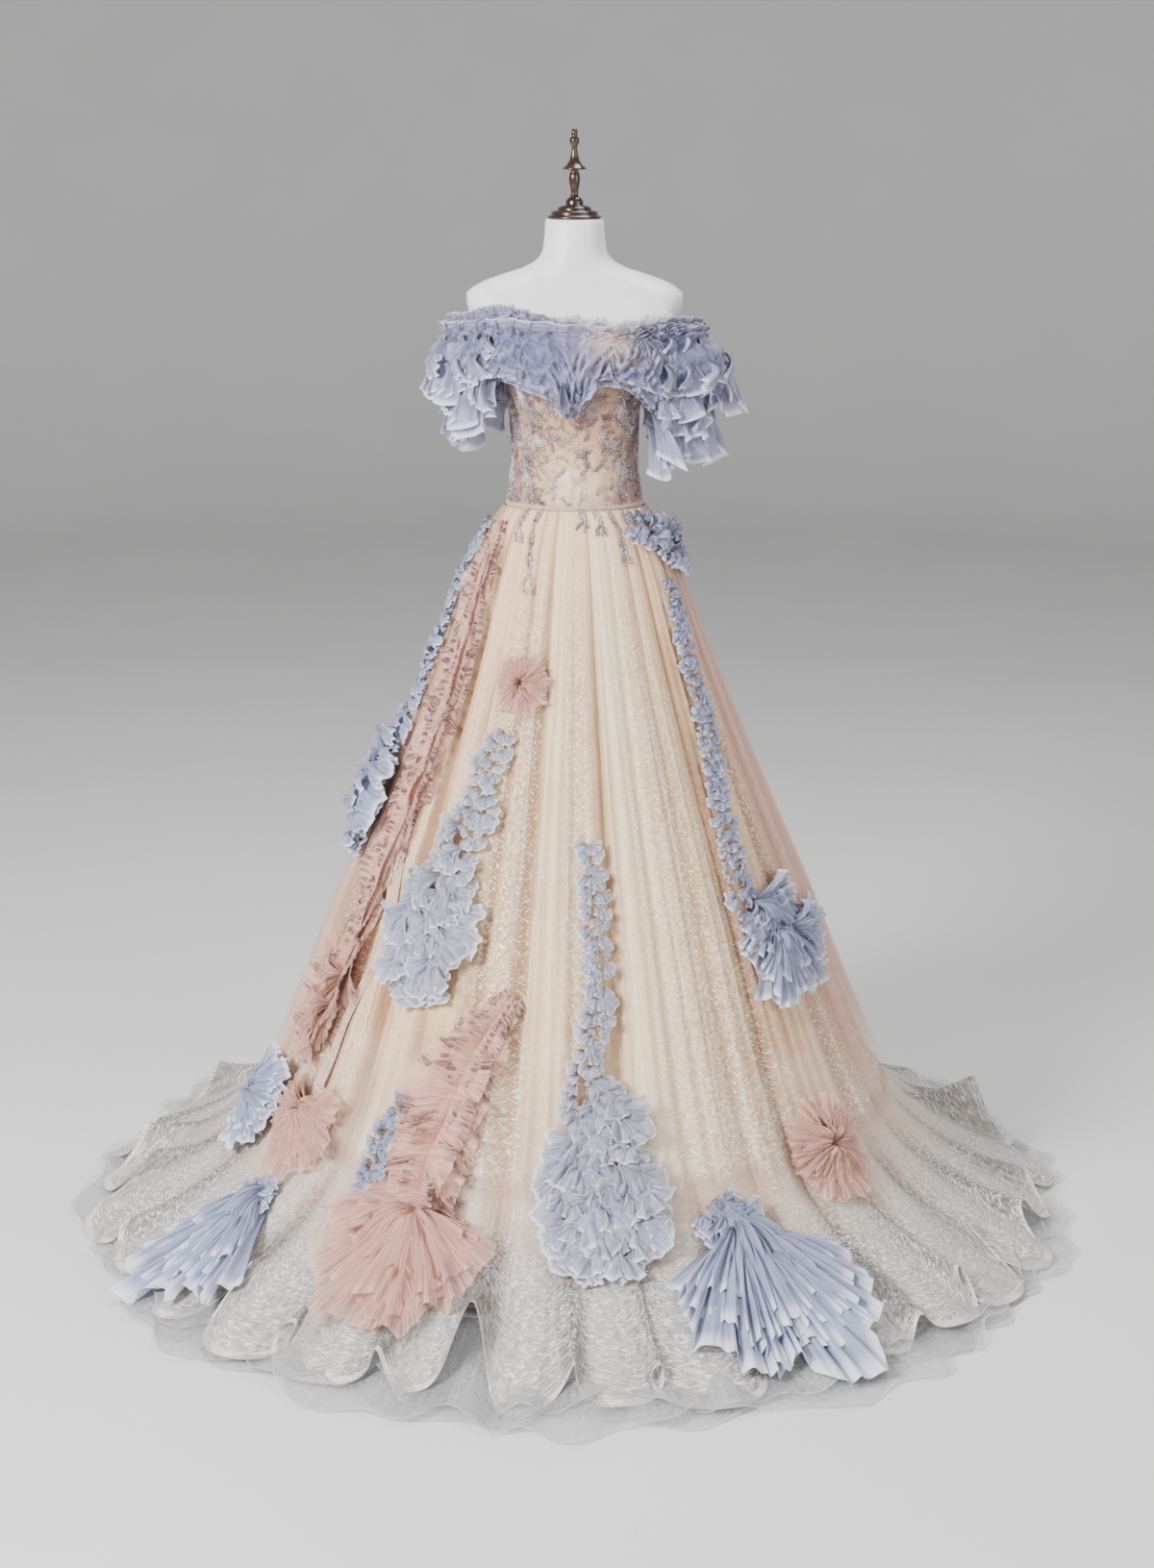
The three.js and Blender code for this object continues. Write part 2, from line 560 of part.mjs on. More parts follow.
function addBodice() {
  for (const panel of BODICE) {
    addPiece(panel.name, bodicePanel(panel.from, panel.to, BODICE_ROWS), 'bodice');
  }
  const band = [WAIST_BAND.top, WAIST_BAND.bottom].map((z) => (
    spread(0, 360, FORM_SIDES).slice(0, -1).map((at) => onForm(at, z, FORM_CLEAR))));
  addPiece('waist_band', wallFrom(band, CLOTH + FORM_CLEAR, { wrap: true, level: [0, 1] }), 'bodice');

  const off = FORM_CLEAR + CLOTH + SEAM;
  const within = BODICE_ROWS.filter((z) => z < PLACKET.top && z > PLACKET.bottom);
  const strip = [PLACKET.top, ...within, PLACKET.bottom].map((z) => (
    spread(180 - PLACKET.half, 180 + PLACKET.half, 2).map((at) => onForm(at, z, off))));
  addPiece('back_placket', wallFrom(strip, PLACKET.cloth, { level: strip.map((_, i) => i) }), 'bodice');
  spread(BUTTON.first, BUTTON.last, BUTTON.count - 1).forEach((z, k) => {
    const button = new THREE.SphereGeometry(BUTTON.radius, 8, 4);
    button.scale(1, BUTTON.thick / BUTTON.radius / 2, 1);
    const place = onForm(180, z, off + PLACKET.cloth + SEAM * 2 + BUTTON.thick / 2);
    addPiece(`button_${k + 1}`, button, 'bodice').position.copy(place);
  });
}

// The point of a gore at an angle and height: the crest line less the fold's depth there.
function onSkirt(at, z) {
  return towardAxis(onGown(at, z), foldAt(at).skirt * rowAt(FOLD_GROWTH, 'z', z).share);
}

// The point of the flounce: its folds deepen and its hem lifts in the valleys towards the floor.
function onFlounce(at, z) {
  const fold = foldAt(at);
  const fall = (FLOUNCE_SEAM - z) / (FLOUNCE_SEAM - HEM_REST);
  const depth = fold.skirt * (1 - fall) + fold.hem * fall ** FLUTE_POWER;
  return towardAxis(onGown(at, z), depth).setZ(z + FLUTE_LIFT * fold.near * fall ** 2);
}

function addSkirt() {
  const heights = GOWN.map((row) => row.z).sort((a, b) => b - a);
  const skirtRows = heights.filter((z) => z > FLOUNCE_SEAM);
  skirtRows.push(FLOUNCE_SEAM + SEAM / 2);
  for (const gore of GORES) {
    const angles = foldAngles(gore.from, gore.to);
    const grid = skirtRows.map((z) => angles.map((at) => onSkirt(at, z)));
    addPiece(gore.name, wallFrom(grid, -CLOTH, { level: [0, skirtRows.length - 1] }), 'skirt');
  }
  const flounceRows = [FLOUNCE_SEAM - SEAM / 2, ...heights.filter((z) => z < FLOUNCE_SEAM)];
  for (const length of FLOUNCES) {
    const angles = foldAngles(length.from, length.to);
    const grid = flounceRows.map((z) => angles.map((at) => onFlounce(at, z)));
    addPiece(length.name, wallFrom(grid, -CLOTH, { level: [0, flounceRows.length - 1] }), 'flounce');
  }
  for (const length of UNDERSKIRT) {
    const gap = THREE.MathUtils.radToDeg(SEAM / 2 / UNDERSKIRT_ROWS[0].radius);
    const angles = spread(length.from + gap, length.to - gap, UNDERSKIRT_STEPS);
    const grid = UNDERSKIRT_ROWS.map((row) => angles.map((at, j) => {
      const radius = row.radius + row.scallop * SCALLOP_DEPTH * (j % 2);
      const angle = THREE.MathUtils.degToRad(at);
      return new THREE.Vector3(radius * Math.sin(angle), -radius * Math.cos(angle), row.base);
    }));
    addPiece(length.name, wallFrom(grid, CLOTH), 'underskirt');
  }
}

// The point of the collar on one of its lines, and the wave of its crumpled cloth.
function onCollar(at, line) {
  const row = rowAt(COLLAR, 'at', THREE.MathUtils.euclideanModulo(at + 180, 360) - 180);
  const z = THREE.MathUtils.lerp(NECKLINE, line.down < 0 ? row.top : row.bottom, Math.abs(line.down));
  const wave = Math.cos(((at - COLLAR_CREST) / COLLAR_WAVE) * 2 * Math.PI);
  return onForm(at, z, row.root * line.root + row.out * line.out + line.wave * (1 + wave));
}

function addCollar() {
  for (const part of COLLAR_PARTS) {
    const gap = THREE.MathUtils.radToDeg(COLLAR_SEAM / 2 / rowAt(FORM, 'z', NECKLINE).front);
    const step = (part.to - part.from) / part.steps;
    const angles = [part.from - step, ...spread(part.from + gap, part.to - gap, part.steps), part.to + step];
    const grid = COLLAR_ROWS.map((line) => angles.map((at) => onCollar(at, line)));
    addPiece(part.name, wallFrom(grid, CLOTH, { level: [COLLAR_ROWS.length - 1], spare: true }), 'lavender');
  }
}

// A frill hangs from the collar's lower edge, a seam's gap below it.
function addSleeves() {
  const edge = COLLAR_ROWS.at(-1);
  for (const part of SLEEVES) {
    const angles = spread(part.from + COLLAR_SEAM / 2, part.to - COLLAR_SEAM / 2, SLEEVE_STEPS);
    const grid = SLEEVE_ROWS.map((line) => angles.map((at, j) => {
      const root = onCollar(at, edge);
      const out = new THREE.Vector3(root.x, root.y, 0).normalize();
      const z = THREE.MathUtils.lerp(root.z - part.gap, part.bottom, line.down);
      return root.clone().setZ(z).addScaledVector(out, line.out + line.wave * ((j + 1) % 2));
    }));
    addPiece(part.name, wallFrom(grid, CLOTH, { level: [0] }), 'lavender');
  }
}

// The angle of a point as seen by the outline of the gown at its height.
function gownAngle(point) {
  const row = rowAt(GOWN, 'z', point.z);
  const depth = point.y < 0 ? row.front : row.back;
  return THREE.MathUtils.radToDeg(Math.atan2(point.x / row.side, -point.y / depth));
}

// The nearest level point over the crests, moved out along the gown's own direction.
function overGown(point, height) {
  const at = gownAngle(point);
  const z = Math.max(point.z, HEM_REST);
  const seat = onGown(at, z).addScaledVector(outOfGown(at, z), height);
  return seat.setZ(Math.max(seat.z, HEM_REST));
}

// A gathered ruffle on its stitched line, with alternate rows of frills high and low.
function ribbon(line, rows, sink) {
  const marks = line.map((row) => ({ ...row }));
  const places = marks.map((row) => onGown(row.at, row.z));
  marks.forEach((row, k) => {
    row.run = k === 0 ? 0 : marks[k - 1].run + places[k].distanceTo(places[k - 1]);
  });
  const length = marks.at(-1).run;
  const grid = spread(0, length, rows).map((run, i) => {
    const row = rowAt(marks, 'run', run);
    const before = rowAt(marks, 'run', Math.max(run - 5, 0));
    const after = rowAt(marks, 'run', Math.min(run + 5, length));
    const centre = onGown(row.at, row.z);
    const along = onGown(after.at, after.z).sub(onGown(before.at, before.z)).normalize();
    const across = outOfGown(row.at, row.z).cross(along).normalize();
    return RIBBON_ACROSS.map((mark) => {
      const turn = i % 2 === 0 ? 1 : -1;
      const lift = row.high * Math.max(mark.lift + turn * mark.wave, 0);
      const point = centre.clone().addScaledVector(across, row.half * mark.across);
      return overGown(point, RUFFLE_SEAT - sink + lift);
    });
  });
  return wallFrom(grid, CLOTH);
}

// A round rosette stitched down at its middle, its frills fluted all round.
function rosette(rose) {
  const centre = onGown(rose.at, rose.z);
  const out = outOfGown(rose.at, rose.z);
  const right = new THREE.Vector3(-out.y, out.x, 0).normalize();
  const up = out.clone().cross(right);
  const grid = ROSETTE_ROWS.map((row) => (
    spread(0, 2 * Math.PI, ROSETTE_STEPS).slice(0, -1).map((turn, j) => {
      const wave = j % 2 === 0 ? row.wave : -row.wave;
      const point = centre.clone()
        .addScaledVector(right, rose.half * row.reach * Math.cos(turn))
        .addScaledVector(up, rose.tall * row.reach * Math.sin(turn));
      return overGown(point, RUFFLE_SEAT - rose.sink + rose.high * (row.lift + wave));
    })));
  return wallFrom(grid, CLOTH, { wrap: true });
}

function addRuffles() {
  for (const strip of RIBBONS) {
    const colour = strip.name.includes('pink') ? 'pink' : 'blue';
    addPiece(strip.name, ribbon(strip.line, strip.rows, strip.sink), colour);
  }
  for (const rose of ROSETTES) {
    addPiece(rose.name, rosette(rose), rose.hue);
  }
}

addForm();
addBodice();
addSkirt();
addCollar();
addSleeves();
addRuffles();

export default group;
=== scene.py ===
"""A ball gown of layered tulle on a white limbless dress form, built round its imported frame.

The pieces are surfaces on grids of points, in metres. Angles run in degrees round the upright axis,
0 at the front (-Y) and 90 at the right (+X).
"""

import logging
import math
from dataclasses import dataclass, field
from enum import Enum

import bpy
import numpy as np
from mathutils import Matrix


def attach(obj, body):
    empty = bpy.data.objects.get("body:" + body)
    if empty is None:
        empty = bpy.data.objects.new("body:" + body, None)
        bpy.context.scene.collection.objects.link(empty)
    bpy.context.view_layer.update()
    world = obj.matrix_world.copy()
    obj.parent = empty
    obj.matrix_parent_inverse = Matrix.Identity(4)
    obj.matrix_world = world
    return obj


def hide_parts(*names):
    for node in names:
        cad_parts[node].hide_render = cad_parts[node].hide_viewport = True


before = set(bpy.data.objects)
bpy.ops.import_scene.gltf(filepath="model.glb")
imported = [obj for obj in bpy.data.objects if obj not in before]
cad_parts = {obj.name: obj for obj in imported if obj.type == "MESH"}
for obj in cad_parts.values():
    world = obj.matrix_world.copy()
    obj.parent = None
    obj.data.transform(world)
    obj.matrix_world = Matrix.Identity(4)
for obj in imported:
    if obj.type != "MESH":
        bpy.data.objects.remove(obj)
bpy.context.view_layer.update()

BODY = "root"
LOG = logging.getLogger("ball_gown")
TURN = 2 * math.pi

Table = dict[str, np.ndarray]
Colour = tuple[float, float, float]
MM = 0.001
LEVEL = np.array([1.0, 1.0, 0.0])


class Held(Enum):
    """How a piece of cloth is kept in its place."""

    DRAPED = "draped"
    HUNG = "hung"
    GATHERED = "gathered"
    LAID = "laid"
    STRETCHED = "stretched"


class Slot(Enum):
    """The record's material slots."""

    FORM = "form_white"
    WOOD = "dark_wood"
    BODICE = "bodice_lace"
    SKIRT = "skirt_tulle"
    HEM = "hem_net"
    UNDER = "under_tulle"
    LAVENDER = "lavender_tulle"
    BLUE = "blue_tulle"
    PINK = "pink_tulle"


# Numbers and noise


def smooth_through(x: np.ndarray, knots: np.ndarray, values: np.ndarray) -> np.ndarray:
    """A smooth curve through a table.

    Each span is a cubic that has the table's own slopes at its ends, so it neither overshoots nor kinks.

    Args:
        x: where the curve is wanted.
        knots: rising places of the table.
        values: the table's values there.

    Returns:
        The curve's values at x.
    """
    steps = np.diff(values) / np.diff(knots)
    inner = np.where(steps[:-1] * steps[1:] > 0, 2 * steps[:-1] * steps[1:]
                     / np.where(steps[:-1] + steps[1:] == 0, 1, steps[:-1] + steps[1:]), 0)
    slopes = np.concatenate([steps[:1], inner, steps[-1:]])
    k = np.clip(np.searchsorted(knots, x) - 1, 0, len(knots) - 2)
    span = knots[k + 1] - knots[k]
    t = np.clip((x - knots[k]) / span, 0, 1)
    low = values[k] * (1 + 2 * t) * (1 - t) ** 2 + slopes[k] * span * t * (1 - t) ** 2
    return low + values[k + 1] * t * t * (3 - 2 * t) - slopes[k + 1] * span * t * t * (1 - t)


def table_of(names: str, *rows: tuple[float, ...]) -> Table:
    """A table's columns by name, from its rows."""
    return dict(zip(names.split(), np.array(rows, float).T))


def curves(table: Table, key: str, x: np.ndarray) -> Table:
    """Every other column of a table, as smooth curves of its key column."""
    return {name: smooth_through(x, table[key], table[name]) for name in table if name != key}


def wander(rng: np.random.Generator, count: int, width: float, ring: bool = False) -> np.ndarray:
    """Smooth noise of unit size along a line.

    White noise is averaged with a bell of the given width and scaled to a spread of one.

    Args:
        rng: the source of the noise.
        count: number of points along the line.
        width: the bell's width, in points.
        ring: whether the end runs on into the start.

    Returns:
        One value for each point.
    """
    reach = max(2, int(3 * width))
    weights = np.exp(-0.5 * (np.arange(-reach, reach + 1) / max(width, 0.3)) ** 2)
    white = rng.standard_normal(count if ring else count + 2 * reach)
    white = np.concatenate([white[-reach:], white, white[:reach]]) if ring else white
    return np.convolve(white, weights, mode="valid") / math.sqrt((weights ** 2).sum())


def unit(vectors: np.ndarray) -> np.ndarray:
    """Vectors along the last axis, made one long."""
    return vectors / np.maximum(np.linalg.norm(vectors, axis=-1, keepdims=True), 1e-12)


def bell(x: np.ndarray, at: float, width: float) -> np.ndarray:
    """A smooth hump of height one at a place, that falls off over a width."""
    return np.exp(-((x - at) / width) ** 2)


def half_turn(angle: np.ndarray) -> np.ndarray:
    """Angles brought between -180 and 180 degrees."""
    return np.mod(angle + 180, 360) - 180


def falling(start: float, end: float, rows: int, columns: int) -> np.ndarray:
    """A grid whose lines run evenly from one value to another."""
    return np.linspace(start, end, rows)[:, None] * np.ones((1, columns))


def run_along(line: np.ndarray) -> np.ndarray:
    """The distance of each point of a line from its start."""
    return np.concatenate([[0], np.cumsum(np.linalg.norm(np.diff(line, axis=0), axis=-1))])


def about_axis(radius: np.ndarray, turn: np.ndarray, height: np.ndarray) -> np.ndarray:
    """Points round the upright axis, from radius, radians from the front and height."""
    return np.stack([radius * np.sin(turn), -radius * np.cos(turn), height + 0 * turn], -1)


# Meshes from grids


@dataclass
class Weave:
    """A grid of points of one stretch of cloth, lines going down and points to the right from outside.

    Attributes:
        points: rows by columns by three.
        run: metres along the cloth for each point, for patterns that follow it.
        reach: 0 at the stitched edge and 1 at the free one.
        crest: 0 in a fold's valley and 1 on its crest; the tulle finishes paint shade in the valleys and
            light on the crests by it.
        closed: whether the last column joins the first.
    """

    points: np.ndarray
    run: np.ndarray
    reach: np.ndarray
    crest: np.ndarray
    closed: bool = False

    def flipped(self, axis: int) -> "Weave":
        """The same grid counted the other way along one axis, which turns its face round."""
        return Weave(*(np.flip(part, axis) for part in (self.points, self.run, self.reach, self.crest)))


@dataclass(frozen=True)
class Cut:
    """How a sheet was cut and is kept in its place.

    Attributes:
        length: its cut length, in metres.
        held: how it is held.
        rests_on: the piece that it lies on, if there is one.
    """

    length: float
    held: Held
    rests_on: str = ""


def faces_of(rows: int, columns: int, closed: bool) -> np.ndarray:
    """Corner numbers of a grid's four-sided faces, turned so that they face out.

    Args:
        rows: number of lines.
        columns: points to a line.
        closed: whether the last column joins the first.

    Returns:
        Four point numbers for each face.
    """
    i, j = np.meshgrid(np.arange(rows - 1), np.arange(columns if closed else columns - 1), indexing="ij")
    right = (j + 1) % columns
    corners = [i * columns + j, (i + 1) * columns + j, (i + 1) * columns + right, i * columns + right]
    return np.stack(corners, -1).reshape(-1, 4)


def ring_of(columns: int, rows: int = 1) -> np.ndarray:
    """Angles of a closed grid's points, that starts at the middle of the back."""
    return (np.arange(columns) * 360 / columns - 180)[None, :] * np.ones((rows, 1))


def capped(grid: np.ndarray, top: np.ndarray, base: np.ndarray) -> tuple[np.ndarray, np.ndarray]:
    """A closed grid made solid by a fan of triangles at each end.

    Args:
        grid: rows by columns by three, lines going down.
        top: the middle point of the upper fan.
        base: the middle point of the lower fan.

    Returns:
        Points and triangles.
    """
    rows, columns = grid.shape[:2]
    count, low, j = rows * columns, (rows - 1) * columns, np.arange(columns)
    right = (j + 1) % columns
    sides = faces_of(rows, columns, True)
    ends = [np.stack([np.full_like(j, count), j, right], -1),
            np.stack([np.full_like(j, count + 1), low + right, low + j], -1)]
    faces = np.concatenate([sides[:, [0, 1, 2]], sides[:, [0, 2, 3]], *ends])
    return np.concatenate([grid.reshape(-1, 3), [top, base]]), faces


def new_object(name: str, points: np.ndarray, faces: np.ndarray) -> bpy.types.Object:
    """A smooth mesh object at the origin.

    Args:
        name: the object's name.
        points: the mesh's points, in metres.
        faces: point numbers of each face, all with one number of corners.

    Returns:
        The object, linked to the scene.
    """
    mesh = bpy.data.meshes.new(name)
    mesh.vertices.add(len(points))
    mesh.vertices.foreach_set("co", np.ascontiguousarray(points, np.float32).ravel())
    mesh.loops.add(faces.size)
    mesh.loops.foreach_set("vertex_index", np.ascontiguousarray(faces, np.int32).ravel())
    mesh.polygons.add(len(faces))
    mesh.polygons.foreach_set("loop_start", np.arange(0, faces.size, faces.shape[1], dtype=np.int32))
    mesh.polygons.foreach_set("use_smooth", np.full(len(faces), True))
    mesh.update(calc_edges=True)
    mesh.validate()
    made = bpy.data.objects.new(name, mesh)
    bpy.context.scene.collection.objects.link(made)
    return made


def set_values(made: bpy.types.Object, name: str, values: np.ndarray) -> None:
    """Stores one number for each point of a mesh under a name."""
    layer = made.data.attributes.new(name, "FLOAT", "POINT")
    layer.data.foreach_set("value", np.ascontiguousarray(values, np.float32).ravel())


def weave_object(name: str, weaves: list[Weave]) -> bpy.types.Object:
    """One mesh from several grids, with a UV map of run and reach and the attributes run, reach and crest.

    Args:
        name: the object's name.
        weaves: the grids.

    Returns:
        The object.
    """
    faces, maps, first = [], [], 0
    for w in weaves:
        rows, columns = w.points.shape[:2]
        corners = faces_of(rows, columns, w.closed)
        run = w.run.reshape(-1)[corners]
        if w.closed:
            run[columns - 1::columns, 2:] = 2 * w.run[0, -1] - w.run[0, -2]
        maps.append(np.stack([run, w.reach.reshape(-1)[corners]], -1).reshape(-1))
        faces.append(corners + first)
        first += rows * columns
    made = new_object(name, np.concatenate([w.points.reshape(-1, 3) for w in weaves]), np.concatenate(faces))
    for part in ("run", "reach", "crest"):
        set_values(made, part, np.concatenate([getattr(w, part).reshape(-1) for w in weaves]))
    made.data.uv_layers.new(name="cloth").data.foreach_set("uv", np.concatenate(maps).astype(np.float32))
    return made


def area_of(made: bpy.types.Object) -> float:
    """The area of a mesh's faces, in square metres.

    Args:
        made: the mesh object.

    Returns:
        The area.
    """
    areas = np.zeros(len(made.data.polygons), np.float32)
    made.data.polygons.foreach_get("area", areas)
    return float(areas.sum())


def settle(made: bpy.types.Object, slot: Slot, material: bpy.types.Material, *nodes: str) -> None:
    """Gives a piece its finish and its body, and hides the nodes that it stands for.

    Args:
        made: the piece.
        slot: its material slot; not used.
        material: its finish.
        nodes: the solids that it stands for.
    """
    made.data.materials.append(material)
    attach(made, BODY)
    if nodes:
        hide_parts(*nodes)
    LOG.info("%s: %d faces", made.name, len(made.data.polygons))


def sew(name: str, weaves: list[Weave], slot: Slot, material: bpy.types.Material, cut: Cut,
        nodes: tuple[str, ...] = (), **stored: np.ndarray) -> None:
    """Args:
        name: the piece's name.
        weaves: its grids.
        slot: its material slot; not used.
        material: its finish.
        cut: its length, its hold and what it rests on.
        nodes: the solids that it stands for.
        stored: further numbers for its finish, one for each point.
    """
    made = weave_object(name, weaves)
    for key, values in stored.items():
        set_values(made, key, values)
    settle(made, slot, material, *nodes)
    area_of(made) / cut.length


# Shaders


class Flow:
    """A value inside a shader, with arithmetic."""

    def __init__(self, graph: "Graph", socket: bpy.types.NodeSocket) -> None:
        """Keeps the socket that the value comes from."""
        self.graph = graph
        self.socket = socket

    def _sum(self, operation: str, first: "Flow | float", second: "Flow | float") -> "Flow":
        """One step of arithmetic."""
        return self.graph.flow("ShaderNodeMath", {0: first, 1: second}, operation=operation)

    def __add__(self, other: "Flow | float") -> "Flow":
        """Adds a number or another value."""
        return self._sum("ADD", self, other)

    __radd__ = __add__

    def __sub__(self, other: "Flow | float") -> "Flow":
        """Takes a number or another value away."""
        return self._sum("SUBTRACT", self, other)

    def __rsub__(self, other: "Flow | float") -> "Flow":
        """Takes this value away from a number."""
        return self._sum("SUBTRACT", other, self)

    def __mul__(self, other: "Flow | float") -> "Flow":
        """Multiplies by a number or another value."""
        return self._sum("MULTIPLY", self, other)

    __rmul__ = __mul__

    def ease(self, low: float, high: float, start: float = 0.0, end: float = 1.0) -> "Flow":
        """A smooth step of this value from low to high, giving start to end."""
        return self.graph.flow("ShaderNodeMapRange", {0: self, 1: low, 2: high, 3: start, 4: end},
                               interpolation_type="SMOOTHSTEP")


class Graph:
    """A material under construction."""

    def __init__(self, name: str) -> None:
        """Starts an empty material.

        Args:
            name: the material's name.
        """
        self.material = bpy.data.materials.new(name)
        self.material.use_nodes = True
        self.tree = self.material.node_tree
        self.tree.nodes.clear()

    def node(self, kind: str, inputs: dict, **settings: object) -> bpy.types.Node:
        """Makes one node.

        Args:
            kind: the node's type.
            inputs: a Flow to link or a constant for each named or numbered input.
            settings: the node's own properties.

        Returns:
            The node.
        """
        made = self.tree.nodes.new(kind)
        for key, value in settings.items():
            setattr(made, key, value)
        for key, value in inputs.items():
            if isinstance(value, Flow):
                self.tree.links.new(value.socket, made.inputs[key])
            else:
                made.inputs[key].default_value = value
        return made

    def flow(self, kind: str, inputs: dict, output: int | str = 0, **settings: object) -> Flow:
        """Makes one node and gives one of its outputs."""
        return Flow(self, self.node(kind, inputs, **settings).outputs[output])

    def stored(self, name: str) -> Flow:
        """A number kept with the mesh's points."""
        return self.flow("ShaderNodeAttribute", {}, "Fac", attribute_name=name)

    def place(self) -> Flow:
        """The point's own place in the object."""
        return self.flow("ShaderNodeTexCoord", {}, "Object")

    def along(self, run: float, reach: float) -> Flow:
        """The cloth's own map, with each direction multiplied."""
        cloth = self.flow("ShaderNodeUVMap", {}, uv_map="cloth")
        return self.flow("ShaderNodeMapping", {"Vector": cloth, "Scale": (run, reach, 1.0)})

    def noise(self, where: Flow, scale: float, detail: float = 2.0) -> Flow:
        """Soft noise between 0 and 1."""
        return self.flow("ShaderNodeTexNoise", {"Vector": where, "Scale": scale, "Detail": detail})

    def strokes(self, deep: float, tilt: float) -> Flow:
        """Short slanting strokes of glitter thread on the cloth's own map.

        Args:
            deep: metres of cloth from the map's reach of 0 to 1.
            tilt: degrees from level.

        Returns:
            1 on a stroke and 0 elsewhere, with a soft edge.
        """
        cloth = self.flow("ShaderNodeUVMap", {}, uv_map="cloth")
        level = self.flow("ShaderNodeMapping", {"Vector": cloth, "Scale": (1.0, deep, 1.0),
                                                "Rotation": (0.0, 0.0, math.radians(tilt))})
        thin = self.flow("ShaderNodeMapping", {"Vector": level, "Scale": (85.0, 330.0, 1.0)})
        return self.noise(thin, 1.0, 1.5).ease(0.53, 0.66)

    def specks(self, where: Flow, scale: float, size: float, share: float) -> Flow:
        """Round specks in some of the cells of a scatter.

        Args:
            where: the place that the scatter follows.
            scale: cells to the metre.
            size: radius of a speck, as a share of a cell.
            share: how many of the cells hold one, from 0 to 1.

        Returns:
            1 on a speck and 0 elsewhere.
        """
        cells = self.node("ShaderNodeTexVoronoi", {"Vector": where, "Scale": scale})
        hue = self.flow("ShaderNodeSeparateColor", {"Color": Flow(self, cells.outputs["Color"])})
        near = Flow(self, cells.outputs["Distance"]).ease(size, size * 0.5)
        return near * hue.ease(1 - share, 1.01 - share)

    def blend(self, first: Flow | Colour, second: Flow | Colour, share: Flow | float) -> Flow:
        """A colour between two colours."""
        first, second = (part if isinstance(part, Flow) else (*part, 1.0) for part in (first, second))
        return self.flow("ShaderNodeMix", {0: share, 6: first, 7: second}, 2, data_type="RGBA")

    def bump(self, height: Flow, depth: float, strength: float = 1.0) -> Flow:
        """A raised pattern, its full depth in metres."""
        return self.flow("ShaderNodeBump", {"Height": height, "Distance": depth, "Strength": strength})

    def close(self, inputs: dict) -> bpy.types.Material:
        """Ends the material in one Principled surface with these inputs."""
        self.node("ShaderNodeOutputMaterial", {"Surface": self.flow("ShaderNodeBsdfPrincipled", inputs)})
        return self.material


@dataclass(frozen=True)
class Smooth:
    """A plain even finish such as satin cloth or polished wood, with a faint mottle."""

    name: str
    colour: Colour
    second: Colour
    roughness: float = 0.4
    sheen: float = 0.0
    coat: float = 0.0
    metallic: float = 0.0
    scale: float = 30.0

    def material(self) -> bpy.types.Material:
        """Builds the material.

        Returns:
            The material.
        """
        g = Graph(self.name)
        mottle = g.noise(g.place(), self.scale, 3)
        return g.close({"Base Color": g.blend(self.colour, self.second, mottle.ease(0.35, 0.7)),
                        "Roughness": self.roughness + mottle * 0.06, "Sheen Weight": self.sheen,
                        "Coat Weight": self.coat, "Coat Roughness": 0.08, "Metallic": self.metallic,
                        "Normal": g.bump(mottle, 0.0003, 0.3)})


@dataclass(frozen=True)
class Frilled:
    """Gathered tulle, with painted shade at the stitching and in its fold valleys and creases, and painted
    light towards its free edge, which is pale.
    """

    name: str
    # deep is the painted shade colour of the stitching, fold valleys and creases.
    deep: Colour
    colour: Colour
    edge: Colour
    crimps: float = 90.0
    clear: float = 0.2
    warm: Colour | None = None
    soft: float = 0.0
    cross: float = 1.4

    def material(self) -> bpy.types.Material:
        """Builds the material; the creases run from the stitching to the free edge.

        Returns:
            The material.
        """
        g = Graph(self.name)
        reach, crest = g.stored("reach"), g.stored("crest")
        creases = g.noise(g.along(self.crimps, self.cross), 1.0, 3)
        lines = creases.ease(0.32, 0.68)
        # Painted shade and light: darker at the stitching, in creases and in fold valleys, lighter towards
        # the free edge and on fold crests.
        light = reach.ease(0.0, 0.85) * 0.4 + crest * 0.35 + lines * 0.45 - 0.12
        body = g.blend(self.deep, self.colour, light.ease(0.0, 0.85))
        if self.warm:
            body = g.blend(body, self.warm, g.stored("warm") * 0.85)
        rim = reach.ease(0.84, 0.99) * (0.8 - self.soft)
        weave = g.specks(g.place(), 900.0, 0.4, 0.5)
        return g.close({"Base Color": g.blend(body, self.edge, (rim + weave * 0.1).ease(0.0, 1.0)),
                        "Roughness": 0.75 - creases * 0.2, "Sheen Weight": 0.3, "Sheen Roughness": 0.5,
                        "Alpha": (1.0 - self.clear * reach.ease(0.1, 0.6) * (1.0 - rim) * (1.3 - lines))
                        * (1.0 - reach.ease(0.45, 1.0) * (1.35 - lines) * self.soft),
                        "Normal": g.bump(lines, 0.002, 0.9)})


